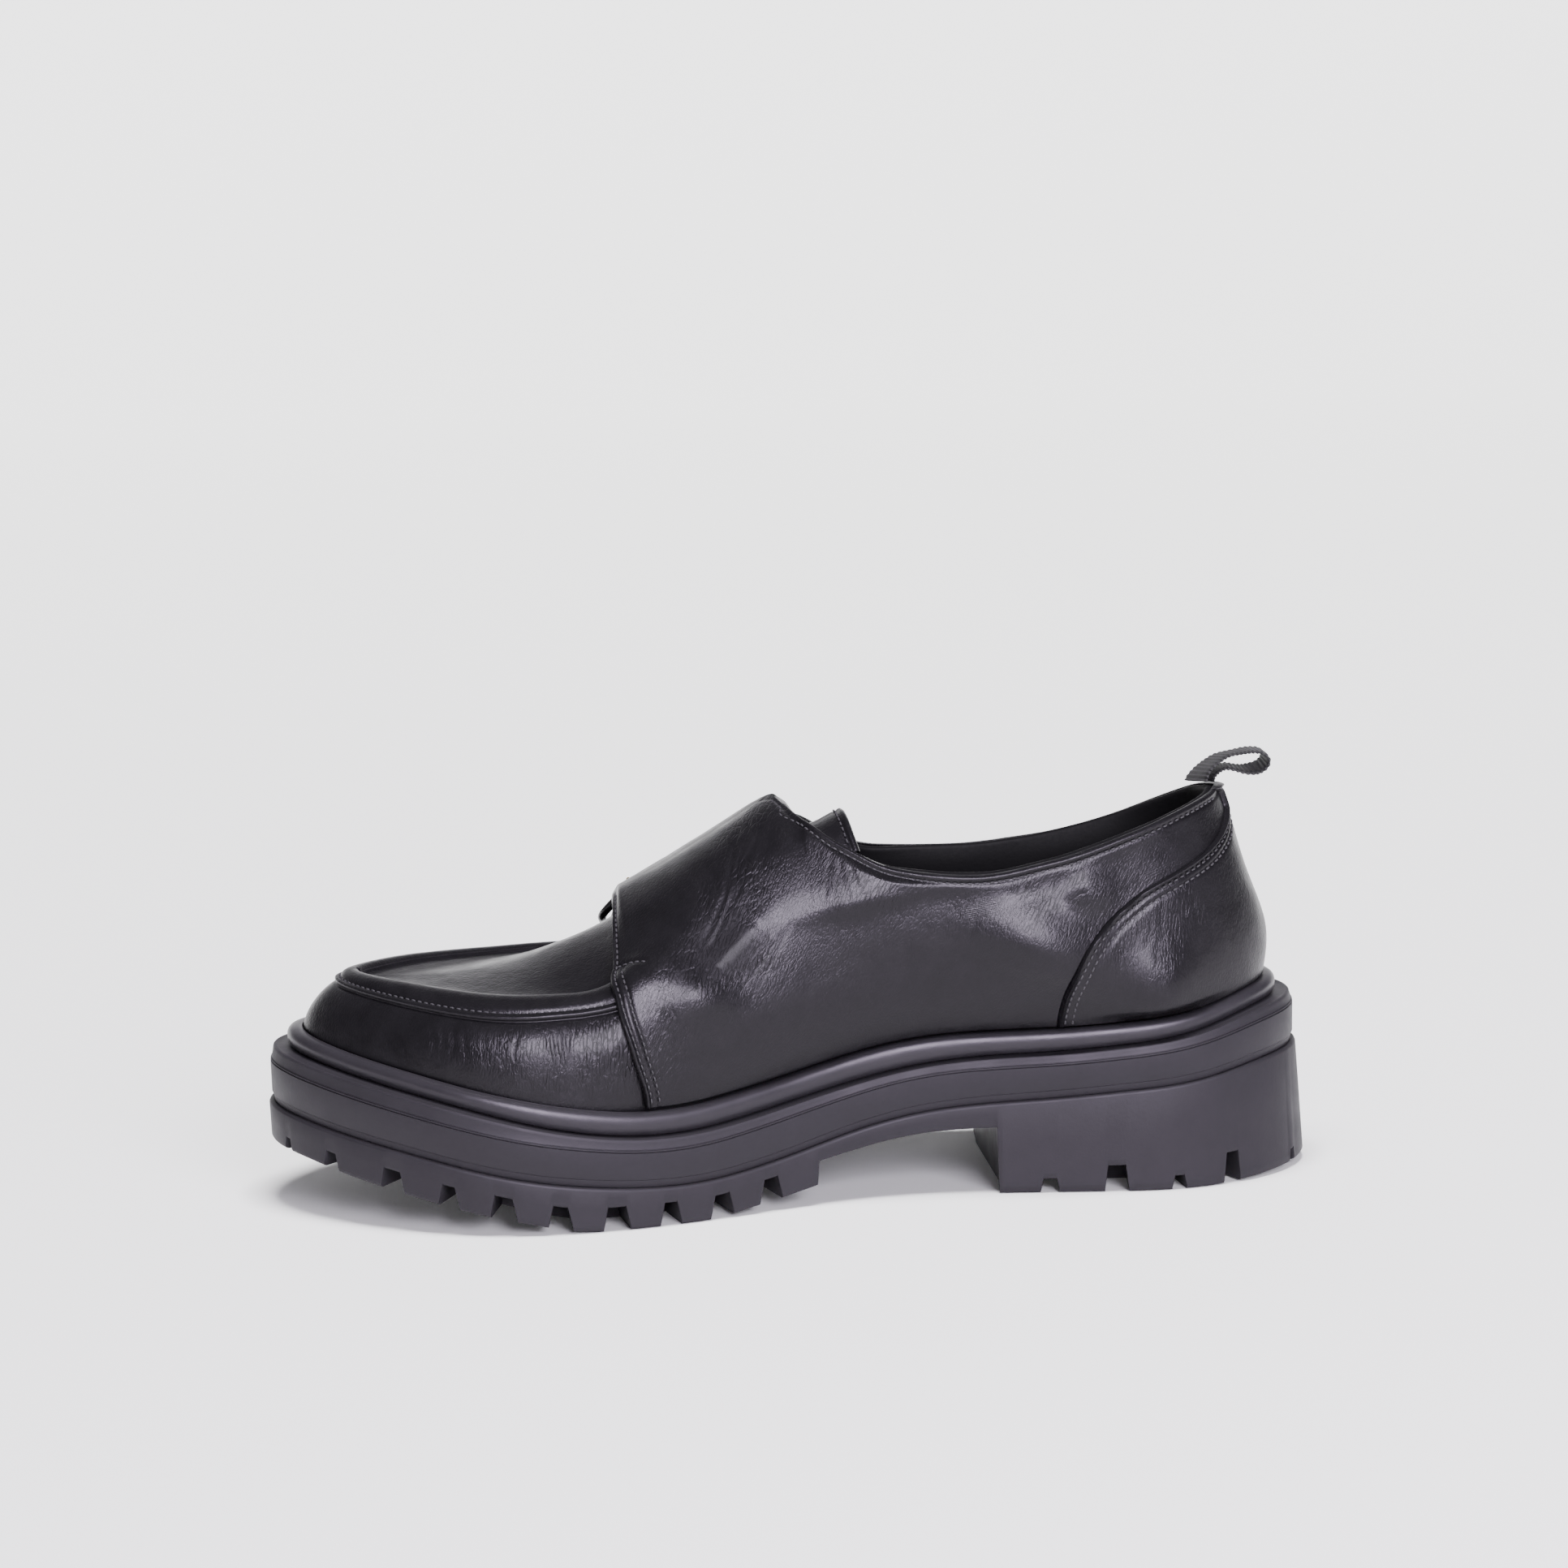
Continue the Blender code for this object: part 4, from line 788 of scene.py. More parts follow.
def sewn_edge(distance, rows, bead=0.4):
    """Bead along a sewn edge less a trough at each row of stitches: bells of the distance from the edge."""
    pressed = sum(bell(distance, row, TROUGH_WIDE) for row in rows)
    return bead * bell(distance, BEAD_AT, BEAD_WIDE) - TROUGH * pressed


def finely(s, w, count=900):
    """Line through a few (s, w) places, with many points."""
    t = np.linspace(0, 1, len(s))
    fine = np.linspace(0, 1, count)
    return np.interp(fine, t, s), np.interp(fine, t, w)


# %% [markdown]
# ## Creases
# Worn leather does not stay as smooth as its last. The main folds are placed in the shoe's own
# sizes: each is a line through a few places (distance from the heel back, height), with a width and a
# depth. The leather sinks along it and is pushed up a little on both sides. Wide, low swellings are given
# as ellipses.

# %% Folds and swellings
# Half width, depth, places (u, z)
FOLDS = [
    (0.80, 0.33, [
        (148.7, 94.4), (151.2, 90.9), (153.7, 85.3), (155.3, 81.0), (157.7, 76.4), (160.8, 72.0),
        (163.6, 68.1)]),
    (0.80, 0.31, [
        (146.4, 95.5), (149.5, 90.4), (152.2, 85.5), (153.5, 81.0), (155.6, 76.6), (158.9, 70.9),
        (162.8, 66.3)]),
    (0.75, 0.26, [
        (145.0, 94.6), (146.7, 91.5), (149.5, 88.0), (151.4, 82.9), (153.4, 78.5), (153.9, 73.9)]),
    (0.75, 0.25, [(159.5, 86.5), (158.0, 84.4), (156.4, 81.8), (155.6, 78.0)]),
    (0.75, 0.15, [(154.5, 78.0), (148.7, 74.4), (143.5, 71.0)]),
    (0.75, 0.13, [(161.0, 65.3), (156.1, 61.7), (151.0, 58.4)]),
    (0.60, 0.08, [(138.6, 74.7), (145.0, 64.7), (152.4, 53.2)]),
    (0.60, 0.09, [(140.8, 72.5), (147.2, 65.1), (154.2, 57.0)]),
    (0.60, 0.08, [(136.8, 66.6), (141.5, 59.6), (147.4, 51.8)]),
    (0.70, 0.14, [(126.3, 93.0), (128.1, 87.2), (129.9, 79.5)]),
    (0.70, 0.16, [(124.9, 91.6), (125.3, 85.3), (123.4, 78.9)]),
    (0.70, 0.13, [(122.5, 91.0), (122.0, 85.2), (119.9, 79.3)]),
    (0.65, 0.17, [(233.6, 53.0), (232.4, 48.1), (232.3, 42.5)]),
    (0.65, 0.20, [(231.0, 53.4), (230.0, 47.6), (231.6, 41.7)]),
    (0.65, 0.20, [(228.7, 53.4), (227.5, 48.4), (229.7, 42.7)]),
    (0.65, 0.16, [(225.1, 52.6), (224.6, 48.6), (224.5, 43.7)]),
    (0.65, 0.10, [(218.8, 52.8), (219.8, 47.8), (218.5, 41.7)]),
    (0.65, 0.10, [(210.2, 52.6), (211.8, 47.7), (213.3, 40.8)]),
    (0.65, 0.20, [(203.8, 53.5), (203.2, 49.1), (202.5, 43.2)]),
    (0.65, 0.22, [(201.5, 51.5), (201.1, 47.1), (199.7, 42.2)]),
    (0.65, 0.23, [(198.5, 53.2), (199.1, 47.7), (197.8, 41.2)]),
    (0.65, 0.18, [(195.8, 52.5), (197.2, 47.5), (197.2, 41.7)]),
    (0.80, 0.14, [(87.0, 82.4), (90.2, 74.4), (93.6, 67.2)]),
    (0.70, 0.10, [(71.3, 85.0), (75.5, 77.9), (77.3, 69.2)]),
    (0.70, 0.12, [(39.8, 89.4), (41.6, 85.0), (42.2, 80.5)]),
    (0.70, 0.12, [(36.1, 89.5), (37.9, 84.5), (40.3, 80.0)]),
    (0.75, 0.14, [(41.5, 77.6), (43.4, 65.6), (43.9, 57.3), (41.6, 46.5)]),
    (0.75, 0.12, [(39.5, 69.4), (37.8, 57.9), (35.3, 45.6)]),
    (0.70, 0.12, [(46.2, 76.0), (44.9, 70.0), (46.9, 63.7)]),
    (0.70, 0.10, [(56.0, 59.7), (54.0, 54.4), (52.8, 48.0)]),
    (2.60, 0.30, [(86.0, 66.0), (76.0, 63.0), (66.0, 60.5)]),
]

# At (u, z), reach along, up and down, lean in degrees, height
SWELLINGS = np.array([
    (164.0, 57.0, 8.0, 7.0, 7.0, 12.0, 2.3),
    (153.5, 69.0, 10.0, 2.8, 4.8, -42.0, 1.0),
    (119.5, 79.6, 16.0, 9.5, 3.4, -11.0, 1.7),
    (72.5, 64.0, 17.0, 11.5, 7.0, 25.0, 4.4),
    (61.0, 79.5, 6.0, 6.0, 5.0, 0.0, 1.9),
    (42.5, 52.0, 10.0, 10.5, 7.0, 0.0, 3.7),
])
FOLD_POINTS = 120


# %% Heights of folds and swellings
def creased(u, z):
    """Sum of less depth times (1 - x x) times the bell of x, x in half widths, fading to both ends."""
    lift = np.zeros_like(u)
    for wide, deep, marks in FOLDS:
        steps = np.linspace(0, len(marks) - 1, FOLD_POINTS)
        path = spline(np.arange(len(marks)), marks, steps)
        low, high = path.min(0) - 3 * wide, path.max(0) + 3 * wide
        near = (u > low[0]) & (u < high[0]) & (z > low[1]) & (z < high[1])
        away = np.hypot(u[near, None] - path[:, 0], z[near, None] - path[:, 1])
        x = away.min(1) / wide
        t = away.argmin(1) / (FOLD_POINTS - 1)
        lift[near] -= deep * bell(x, 0, 1) * (1 - x ** 2) * np.sqrt(4 * t * (1 - t))
    return lift


def swelled(u, z):
    """Sum over swellings of height times a bell, longer or shorter above and below the middle."""
    lift = np.zeros_like(u)
    for u0, z0, long, over, under, lean, rise in SWELLINGS:
        c, d = np.cos(np.radians(lean)), np.sin(np.radians(lean))
        a = ((u - u0) * c + (z - z0) * d) / long
        b = (z - z0) * c - (u - u0) * d
        b = b / np.where(b > 0, over, under)
        lift += rise * bell(a, 0, 1) * bell(b, 0, 1)
    return lift


# %% [markdown]
# ## The vamp and its apron seam
# The front of the upper is a moccasin toe. The side is turned over as a lip, sewn, and the plate's edge
# stands beside it as a round roll; behind the roll the plate lies a little lower. Across the seam that is
# one profile of height over the skin, and it is carried round the toe from flap to flap.

# %% Throat, apron seam and lay
SEAM_END = {MEDIAL: (5.40, 5.70), LATERAL: (5.13, 5.235)}
VAMP_END, THROAT_FROM = 6.3, 0.76

# Way up, height over the skin
APRON = np.array([
    (0.300, 0.0), (0.395, 0.0), (0.4100, -0.20), (0.4150, -0.10), (0.4170, 0.75), (0.4215, 1.12),
    (0.4290, 1.25), (0.4400, 1.20), (0.4470, 0.95), (0.4520, 0.72), (0.4580, 1.02), (0.4720, 1.55),
    (0.4950, 2.02), (0.5250, 2.25), (0.5550, 2.15), (0.5800, 1.72), (0.5980, 1.05), (0.6090, 0.40),
    (0.6160, -0.02), (0.6300, -0.10), (0.6900, 0.0),
])

# Section, way up of the throat's edge
THROAT = [
    (0.0, 1.0), (5.3, 1.0), (6.0, 0.935), (7.0, 0.885), (8.0, 0.85), (8.5, 0.87), (9.0, 0.94), (9.7, 1.0),
    (17.0, 1.0),
]


def throat(s, w):
    """Way up, shortened where the throat is open."""
    shrink = (steady(THROAT, s) - THROAT_FROM) / (1 - THROAT_FROM)
    return np.where(w > THROAT_FROM, THROAT_FROM + (w - THROAT_FROM) * shrink, w)


def apron(s, w, sides):
    """Height of the apron seam, which dies away under the quarters."""
    gone = np.where(sides == MEDIAL, ramp(*SEAM_END[MEDIAL], s), ramp(*SEAM_END[LATERAL], s))
    return steady(APRON, np.clip(w, APRON[0, 0], APRON[-1, 0])) * (1 - gone)


def lay_of(p, lean):
    """Millimetres across and along the cracks, which lean from upright by the given degrees."""
    c, d = np.cos(np.radians(lean)), np.sin(np.radians(lean))
    return np.stack([p[:, 0] * c + p[:, 2] * d, p[:, 2] * c - p[:, 0] * d, p[:, 1]], -1)


# %% Vamp
PLATE_LAY, SIDE_LAY = 80.0, 6.0
seam_rows = np.unique(np.concatenate([APRON[1:-1, 0], (APRON[1:-2, 0] + APRON[2:-1, 0]) / 2]))
side_rows = np.concatenate([[-0.35, -0.15], np.linspace(0, 0.385, 26)])
plate_rows = np.linspace(0.645, 1.0, 28)
vamp_w = np.concatenate([side_rows, seam_rows, plate_rows])
vamp_s = runs((0.0, 1.0, 5.0, 5.3, VAMP_END), (26, 140, 12, 16))
s_grid, w_grid = np.meshgrid(vamp_s, vamp_w, indexing="ij")
w_grid = throat(s_grid, w_grid)
sides, s, w, quads = join(patch(MEDIAL, s_grid, w_grid), patch(LATERAL, s_grid, w_grid))
face, away = on_skin(sides, s, w)
u, z = face[:, 0], face[:, 2]
folds = creased(u, z) * (sides == MEDIAL) * ramp(0.40, 0.33, w) * ramp(0.02, 0.10, w)
lift = (apron(s, w, sides) + folds)[:, None]
plate = w > 0.60
lay = np.where(plate[:, None], lay_of(face, PLATE_LAY), lay_of(face, SIDE_LAY))
dull = 0.2 * bell(u, 202, 15) * bell(z, 48, 8) * (w < 0.40)
side_worn = ramp(0.03, 0.12, w) * ramp(0.41, 0.36, w) * (0.25 + 0.75 * ramp(228, 205, u))
worn = dull + np.where(plate, 0.25 * ramp(0.62, 0.8, w), side_worn)
leather_piece("vamp", "upper", face + lift * away, face - UPPER_WALL * away, quads, lay, worn)

# %% [markdown]
# ## The lining behind the quarters
# Behind the vamp the upper is a softer lining that the quarters are sewn to. Its top edge shows at the
# collar as a second thin line.

# %% Lining
LINING_ROLL = 0.9
lining_w = np.concatenate([runs((-0.35, 0.0, 0.94), (3, 24)), [0.965, 0.98, 0.99, 0.9955, 1.0]])
lining_s = runs((VAMP_END, 9.7, 15.0, LAST), (40, 50, 40))
s_grid, w_grid = np.meshgrid(lining_s, lining_w, indexing="ij")
cut_w = throat(s_grid, w_grid)
sides, s, w, quads = join(patch(MEDIAL, s_grid, cut_w), patch(LATERAL, s_grid, cut_w))
face, away = on_skin(sides, s, w)
fine = np.linspace(VAMP_END, LAST, 1500)
cut = throat(fine, np.ones_like(fine))
top_line = np.concatenate([wall(fine, cut, side) for side in (MEDIAL, LATERAL)])
soft = LINING_ROLL * (1 - rolled(nearest(face, top_line), LINING_ROLL))[:, None]
outer, inner = face - soft * away, face - (UPPER_WALL - soft) * away
points, quads = closed_sheet(to_frame(outer), to_frame(inner), quads)
piece("quarter_lining", points, quads, lining, "upper", 60)

# %% [markdown]
# ## The medial quarter, its flap and straps
# On this pattern the inner quarter runs up over the instep as a wide flap and ends on the far side in two
# straps. It is one sheet: a grid on the medial side from the front edge to the heel counter, and a grid on
# the lateral side with a slit between the straps.

# %% Edges of the quarters
OVERLAY_GAP, QUARTER_WALL, COUNTER_WALL = 0.62, 1.4, 2.1
STRAP_LAYER = OVERLAY_GAP + QUARTER_WALL + OVERLAY_GAP
FRONT_STRAP, REAR_STRAP, COLLAR_END = (5.43, 6.42), (7.1, 8.0), 16.2

# Way up, section of the edge
FRONT_EDGE = [(0.0, 5.78), (0.2, 5.50), (0.42, 5.26), (0.6, 5.22), (0.76, 5.28), (1.0, 5.43)]
COUNTER_EDGE = [
    (0.0, 13.00), (0.2, 13.08), (0.42, 13.28), (0.55, 13.55), (0.64, 14.00), (0.69, 14.70), (0.73, 15.50),
    (0.78, 16.10), (0.85, 16.50), (0.93, 16.50), (1.0, 16.20),
]

# Section, height of the flap's underside over the ridge
FLAP_RISE = np.array([
    (5.43, 3.2), (5.65, 4.6), (6.0, 3.8), (6.5, 2.7), (7.0, 2.4), (7.5, 2.3), (7.8, 2.7), (8.0, 3.3),
    (8.3, 2.6), (9.2, 2.2),
])
EDGE_ROLL, REAR_GAP, SEAM_RISE, PANEL_LAY = 0.8, 0.010, 1.95, 28.0

# Rows of stitches: distances from the front edge, from the collar and from the heel counter's edge
FRONT_ROWS, COLLAR_ROW, COUNTER_ROWS = (1.5, 3.6), 1.95, (1.9, 3.8)


def between(w, share):
    """Section at a share of the way from the front edge to the heel counter."""
    ahead = steady(FRONT_EDGE, w)
    return ahead + (steady(COUNTER_EDGE, w) - REAR_GAP - ahead) * share


def quarter_low(s, w, sides):
    """Underside of quarter, flap and straps over the skin: close below, standing off over the instep."""
    rest = np.where(sides == MEDIAL, OVERLAY_GAP, STRAP_LAYER)
    near = ramp(0.62, 1.0, w) * np.where(sides == MEDIAL, 1 - ramp(8.1, 9.8, s), 1)
    over_seam = SEAM_RISE * bell(w, 0.51, 0.10) * (1 - ramp(5.5, 6.9, s)) * (sides == MEDIAL)
    return rest + (np.interp(s, *FLAP_RISE.T) - rest) * near + over_seam


def moved(s, w, side, distance):
    """Line moved over the skin, square to itself: the step is solved from the two slopes of the skin."""
    d = 0.01
    ahead, behind = np.clip(s + d, 0, LAST), np.clip(s - d, 0, LAST)
    slope_s = (wall(ahead, w, side) - wall(behind, w, side)) / (2 * d)
    up, down = np.clip(w + d, 0, 1), np.clip(w - d, 0, 1)
    slope_w = (wall(s, up, side) - wall(s, down, side)) / (up - down)[:, None]
    run = np.gradient(wall(s, w, side), axis=0)
    square = unit(np.cross(np.cross(slope_s, slope_w), run))
    ss, sw, ww = (slope_s ** 2).sum(1), (slope_s * slope_w).sum(1), (slope_w ** 2).sum(1)
    rs, rw = ((square * a).sum(1) * distance for a in (slope_s, slope_w))
    size = ss * ww - sw ** 2
    new_s, new_w = s + (rs * ww - rw * sw) / size, w + (rw * ss - rs * sw) / size
    return np.clip(new_s, 0, LAST), np.clip(new_w, 0, 1)


# %% Grid of the medial side
foot_row, rim_rows = [0.012], [0.984, 0.990, 0.9945, 0.998, 1.0]
rows = np.concatenate([foot_row, np.linspace(0.05, 0.92, 88), np.linspace(0.93, 0.978, 8), rim_rows])
front_s = [[5.43, 5.442, 5.456, 5.475], np.linspace(5.50, 5.84, 13), np.linspace(5.88, 6.42, 14)]
slit_s = np.linspace(6.46, 7.06, 20)
rear_s = [np.linspace(7.1, 7.95, 26), [7.97, 7.985, 8.0]]
ridge_s = np.concatenate([*front_s, slit_s, *rear_s])
collar_s = np.concatenate([np.linspace(8.0, 16.0, 180)[1:], [16.08, 16.13, 16.17, COLLAR_END]])
top_s = np.concatenate([ridge_s, collar_s])
share_back = (top_s - top_s[0]) / (top_s[-1] - top_s[0])
share_grid, medial_w = np.meshgrid(share_back, rows, indexing="ij")
medial_s = between(medial_w, share_grid)
medial_s[:, -1] = top_s
medial_s[-1, -1] -= REAR_GAP
print("medial grid", medial_s.shape)

# %% [markdown]
# On the far side the rear strap slants back on its way down, and each strap narrows to a rounded tip. The
# cells of the slit between them are left out.

# %% Grid of the straps
STRAP_SPLIT, STRAP_TIP, STRAP_ROUND, STRAP_CLOSE = 0.86, 0.34, 0.07, 0.72
REAR_SLANT, SLANT_STOP = (5.8, 7.0), 0.65
down = np.concatenate([[1.0], runs((0.98, STRAP_SPLIT, 0.41, STRAP_TIP), (8, 34, 14))])
strap_s, strap_w = np.meshgrid(ridge_s, down, indexing="ij")
slant = np.interp(strap_s, REAR_STRAP, REAR_SLANT) * (1 - np.maximum(strap_w, SLANT_STOP))
strap_s = strap_s + np.where(strap_s > REAR_STRAP[0] - 1e-6, slant, 0)
tip = np.clip((STRAP_TIP + STRAP_ROUND - strap_w) / STRAP_ROUND, 0, 1)
closing = np.sqrt(1 - STRAP_CLOSE * tip ** 2)
front_last = int(np.argmin(abs(ridge_s - FRONT_STRAP[1])))
rear_first = int(np.argmin(abs(ridge_s - REAR_STRAP[0])))
strap_ends = (0, front_last), (rear_first, len(ridge_s) - 1)
for first, last in strap_ends:
    middle = (strap_s[first] + strap_s[last]) / 2
    strap_s[first:last + 1] = middle + (strap_s[first:last + 1] - middle) * closing[first:last + 1]
keep = np.ones((len(ridge_s) - 1, len(down) - 1), bool)
keep[front_last:rear_first, down[1:] < STRAP_SPLIT - 1e-6] = False
print("strap grid", strap_s.shape)

# %% [markdown]
# The rim is every cut edge of this sheet: the front, the collar, the sides and tips of both straps and the
# end of the slit. The distance from it tells where the leather rolls down and where it may crease.

# %% Rim of the medial quarter
sides, s, w, quads = join(patch(MEDIAL, medial_s, medial_w), patch(LATERAL, strap_s, strap_w, keep))
face, away = on_skin(sides, s, w)
way = np.linspace(rows[0], 1, 900)
front_line = wall(between(way, 0 * way), way, MEDIAL)
fine = np.linspace(RIDGE_END, COLLAR_END, 1100)
collar_line = wall(fine, np.ones_like(fine), MEDIAL)
slit_top = int(np.argmin(abs(down - STRAP_SPLIT)))
rim = [front_line, collar_line]
for column, start in ((0, 0), (front_last, slit_top), (rear_first, slit_top), (-1, 0)):
    rim.append(wall(*finely(strap_s[column, start:], down[start:]), LATERAL))
slit_end = strap_s[front_last:rear_first + 1, slit_top]
rim.append(wall(*finely(slit_end, np.full(len(slit_end), STRAP_SPLIT), 100), LATERAL))
for first, last in strap_ends:
    tip = strap_s[first:last + 1, -1]
    rim.append(wall(*finely(tip, np.full(len(tip), STRAP_TIP), 200), LATERAL))
off_rim = nearest(face, np.concatenate(rim))

# %% Medial quarter
BAR_TROUGH, BAR_WIDE, COLLAR_BEAD = 0.5, 0.75, 0.12
u, z = face[:, 0], face[:, 2]
on_medial = sides == MEDIAL
low = quarter_low(s, w, sides)
off_front = nearest(face, front_line)
bar_s, bar_w = np.linspace(5.32, 5.92, 60), np.linspace(0.648, 0.555, 60)
second_row = TROUGH * bell(off_front, FRONT_ROWS[1], TROUGH_WIDE) * ramp(0.65, 0.63, w)
bar = BAR_TROUGH * bell(nearest(face, wall(bar_s, bar_w, MEDIAL)), 0, BAR_WIDE)
sewing = sewn_edge(off_front, FRONT_ROWS[:1]) - second_row - bar
sewing = sewing + sewn_edge(nearest(face, collar_line), (COLLAR_ROW,), COLLAR_BEAD)
inside = ramp(1.2, 4.0, off_rim) * ramp(0.02, 0.08, w) * np.where(s < 8.6, ramp(0.97, 0.86, w), 1)
worked = sewing + (creased(u, z) + swelled(u, z)) * inside
high = low + QUARTER_WALL - EDGE_ROLL * (1 - rolled(off_rim, EDGE_ROLL)) + on_medial * worked
flap_worn = bell(u + 0.55 * (z - 83), 153, 9)
collar_worn = bell(u, 118, 14) * bell(z, 83, 8)
rear_worn = 0.8 * bell(u, 68, 20) * bell(z, 80, 11)
low_worn = 0.25 * bell(u, 132, 26) * bell(z, 62, 16)
dull = 1.2 * bell(u, 155, 11) * bell(z, 68, 8)
worn = np.clip(0.12 + flap_worn + collar_worn + rear_worn + low_worn, 0, 1) + dull
outer, inner = face + high[:, None] * away, face + low[:, None] * away
lay = lay_of(face, PANEL_LAY)
leather_piece("medial_quarter", "medial_quarter", outer, inner, quads, lay, worn * on_medial)

# %% [markdown]
# ## The lateral quarter
# The far quarter is the same cut, stopped at the throat, and lies under the straps.

# %% Lateral quarter
share_far = np.append(share_back[:-1:2], 1.0)
share_grid, w_grid = np.meshgrid(share_far, rows, indexing="ij")
lateral_s = between(w_grid, share_grid)
sides, s, w, quads = join(patch(LATERAL, lateral_s, throat(lateral_s, w_grid)))
face, away = on_skin(sides, s, w)
along = between(np.ones(1200), np.linspace(0, 1, 1200))
far_front = wall(between(way, 0 * way), way, LATERAL)
far_collar = wall(along, throat(along, np.ones_like(along)), LATERAL)
off_rim = nearest(face, np.concatenate([far_front, far_collar]))
high = OVERLAY_GAP + QUARTER_WALL - EDGE_ROLL * (1 - rolled(off_rim, EDGE_ROLL))
worn = np.clip(0.15 + bell(face[:, 0], 110, 25), 0, 1)
outer, inner = face + high[:, None] * away, face + OVERLAY_GAP * away
lay = lay_of(face, PANEL_LAY)
leather_piece("lateral_quarter", "lateral_quarter", outer, inner, quads, lay, worn)

# %% [markdown]
# ## The heel counter
# A thicker piece wraps the heel. Its edge climbs in one sweep and runs up beside the pull loop. The
# swelling of the quarter runs on below it, so the two stay together.

# %% Heel counter
COUNTER_ROLL, COUNTER_BEAD, COUNTER_LAY = 1.1, 0.65, 4.0
near_edge = [0, 0.004, 0.009, 0.016, 0.025, 0.04]
counter_share = np.concatenate([near_edge, np.linspace(0.055, 1.0, 66)])
share_grid, w_grid = np.meshgrid(counter_share, rows, indexing="ij")
counter_front = steady(COUNTER_EDGE, w_grid)
counter_s = counter_front + (LAST - counter_front) * share_grid
sides, s, w, quads = join(patch(MEDIAL, counter_s, w_grid), patch(LATERAL, counter_s, w_grid))
face, away = on_skin(sides, s, w)
u, z = face[:, 0], face[:, 2]
fine = np.linspace(COLLAR_END, LAST, 200)
rim = [wall(steady(COUNTER_EDGE, way), way, side) for side in (MEDIAL, LATERAL)]
rim += [wall(fine, np.ones_like(fine), side) for side in (MEDIAL, LATERAL)]
off_rim = nearest(face, np.concatenate(rim))
high = OVERLAY_GAP + COUNTER_WALL - COUNTER_ROLL * (1 - rolled(off_rim, COUNTER_ROLL))
bent = creased(u, z) * ramp(2, 6, off_rim) + swelled(u, z)
high = high + sewn_edge(off_rim, COUNTER_ROWS, COUNTER_BEAD)
high = high + bent * (sides == MEDIAL) * ramp(0.02, 0.08, w)
worn = np.clip(0.1 + bell(u, 42, 12) * bell(z, 68, 12), 0, 1)
outer, inner = face + high[:, None] * away, face + OVERLAY_GAP * away
lay = lay_of(face, COUNTER_LAY)
leather_piece("heel_counter", "heel_counter", outer, inner, quads, lay, worn)

# %% [markdown]
# ## The tongue
# The tongue lies under the throat and stands out behind the flap with a folded edge.

# %% Tongue
TONGUE_WALL, TONGUE_CLEAR, TONGUE_REACH, TONGUE_FOLD, TONGUE_LAY = 2.4, 0.5, 0.22, 1.0, 70.0
TONGUE_LINE = np.array([(136.0, 95.0), (131.0, 95.3), (127.0, 97.2), (122.9, 99.3)])
TONGUE_END, END_FROM = TONGUE_LINE[-1, 0], 124.9

# Towards the end: sag moved to one side, sag of the near corner, lean back, narrowing
SAG_SHIFT, SAG_CORNER, LEAN_BACK, NARROWING = 0.25, 5.0, 0.34, 0.06


def tongue_face():
    """Under the skin along the throat, then its last row carried on along a line and leaning back."""
    across = np.linspace(-1, 1, 41)
    s_grid, a_grid = np.meshgrid(np.linspace(5.05, RIDGE_END, 50), across, indexing="ij")
    way = 1 - TONGUE_REACH * (0.8 + 0.2 * ramp(5.05, 6.5, s_grid)) * np.abs(a_grid)
    depth = UPPER_WALL + TONGUE_CLEAR
    near, far = (wall(s_grid, way, side) - depth * outward(s_grid, way, side) for side in (MEDIAL, LATERAL))
    front = np.where(a_grid[..., None] <= 0, near, far)
    last = front[-1]
    start = last[len(across) // 2]
    line = np.concatenate([[start[[0, 2]]], TONGUE_LINE])
    u = runs((start[0], END_FROM, TONGUE_END), (26, 10))[1:]
    z = spline(-line[:, 0], line[:, 1], -u)[:, None]
    fade = ((start[0] - u) / (start[0] - TONGUE_END))[:, None]
    drop = (last[:, 2] - start[2]) * (1 - SAG_SHIFT * fade * np.sign(-across))
    drop = drop - SAG_CORNER * fade * np.clip(-across, 0, 1) ** 3
    tail_u = last[:, 0] + u[:, None] - start[0] + LEAN_BACK * fade * drop
    tail = np.stack([tail_u, last[:, 1] * (1 - NARROWING * fade), z + drop], -1)
    return np.concatenate([front, tail])


top = tongue_face()
under = unit(np.cross(np.gradient(top, axis=0), np.gradient(top, axis=1)))
under *= np.where(under[..., 2:] > 0, -1, 1)
to_end = np.linalg.norm(top - top[-1], axis=-1)
soft = TONGUE_FOLD * (1 - rolled(to_end, TONGUE_FOLD)) + 0.3 * bell(to_end, 2.0, 0.5)
outer = (top + under * soft[..., None]).reshape(-1, 3)
inner = (top + under * (TONGUE_WALL - soft[..., None])).reshape(-1, 3)
cells = quads_of(np.arange(len(outer)).reshape(top.shape[:2]))
lay = lay_of(top.reshape(-1, 3), TONGUE_LAY)
leather_piece("tongue", "tongue", outer, inner, cells, lay, np.full(len(outer), 0.2))
tongue_row = top[-10, 2:-2] - 0.15 * under[-10, 2:-2], -under[-10, 2:-2]

# %% [markdown]
# ## Buckles and pins
# Each strap is held by a black frame with a gold-tone pin. A frame is a rounded rectangle: sine and cosine
# raised to a small power, laid over the strap, with a round rod carried along it.

# %% Tubes and paths on the straps
# Name, first and last section of the strap, way up, tilt in degrees
BUCKLES = [("front", *FRONT_STRAP, 0.55, 0.0), ("rear", 9.0, 10.3, 0.66, 40.0)]
BUCKLE_LONG, BUCKLE_OVER, BUCKLE_CORNER, BUCKLE_ROD = 9.0, 2.4, 0.45, 1.15
PIN_LONG, PIN_ROD, TRIALS = 9.6, 0.85, 120

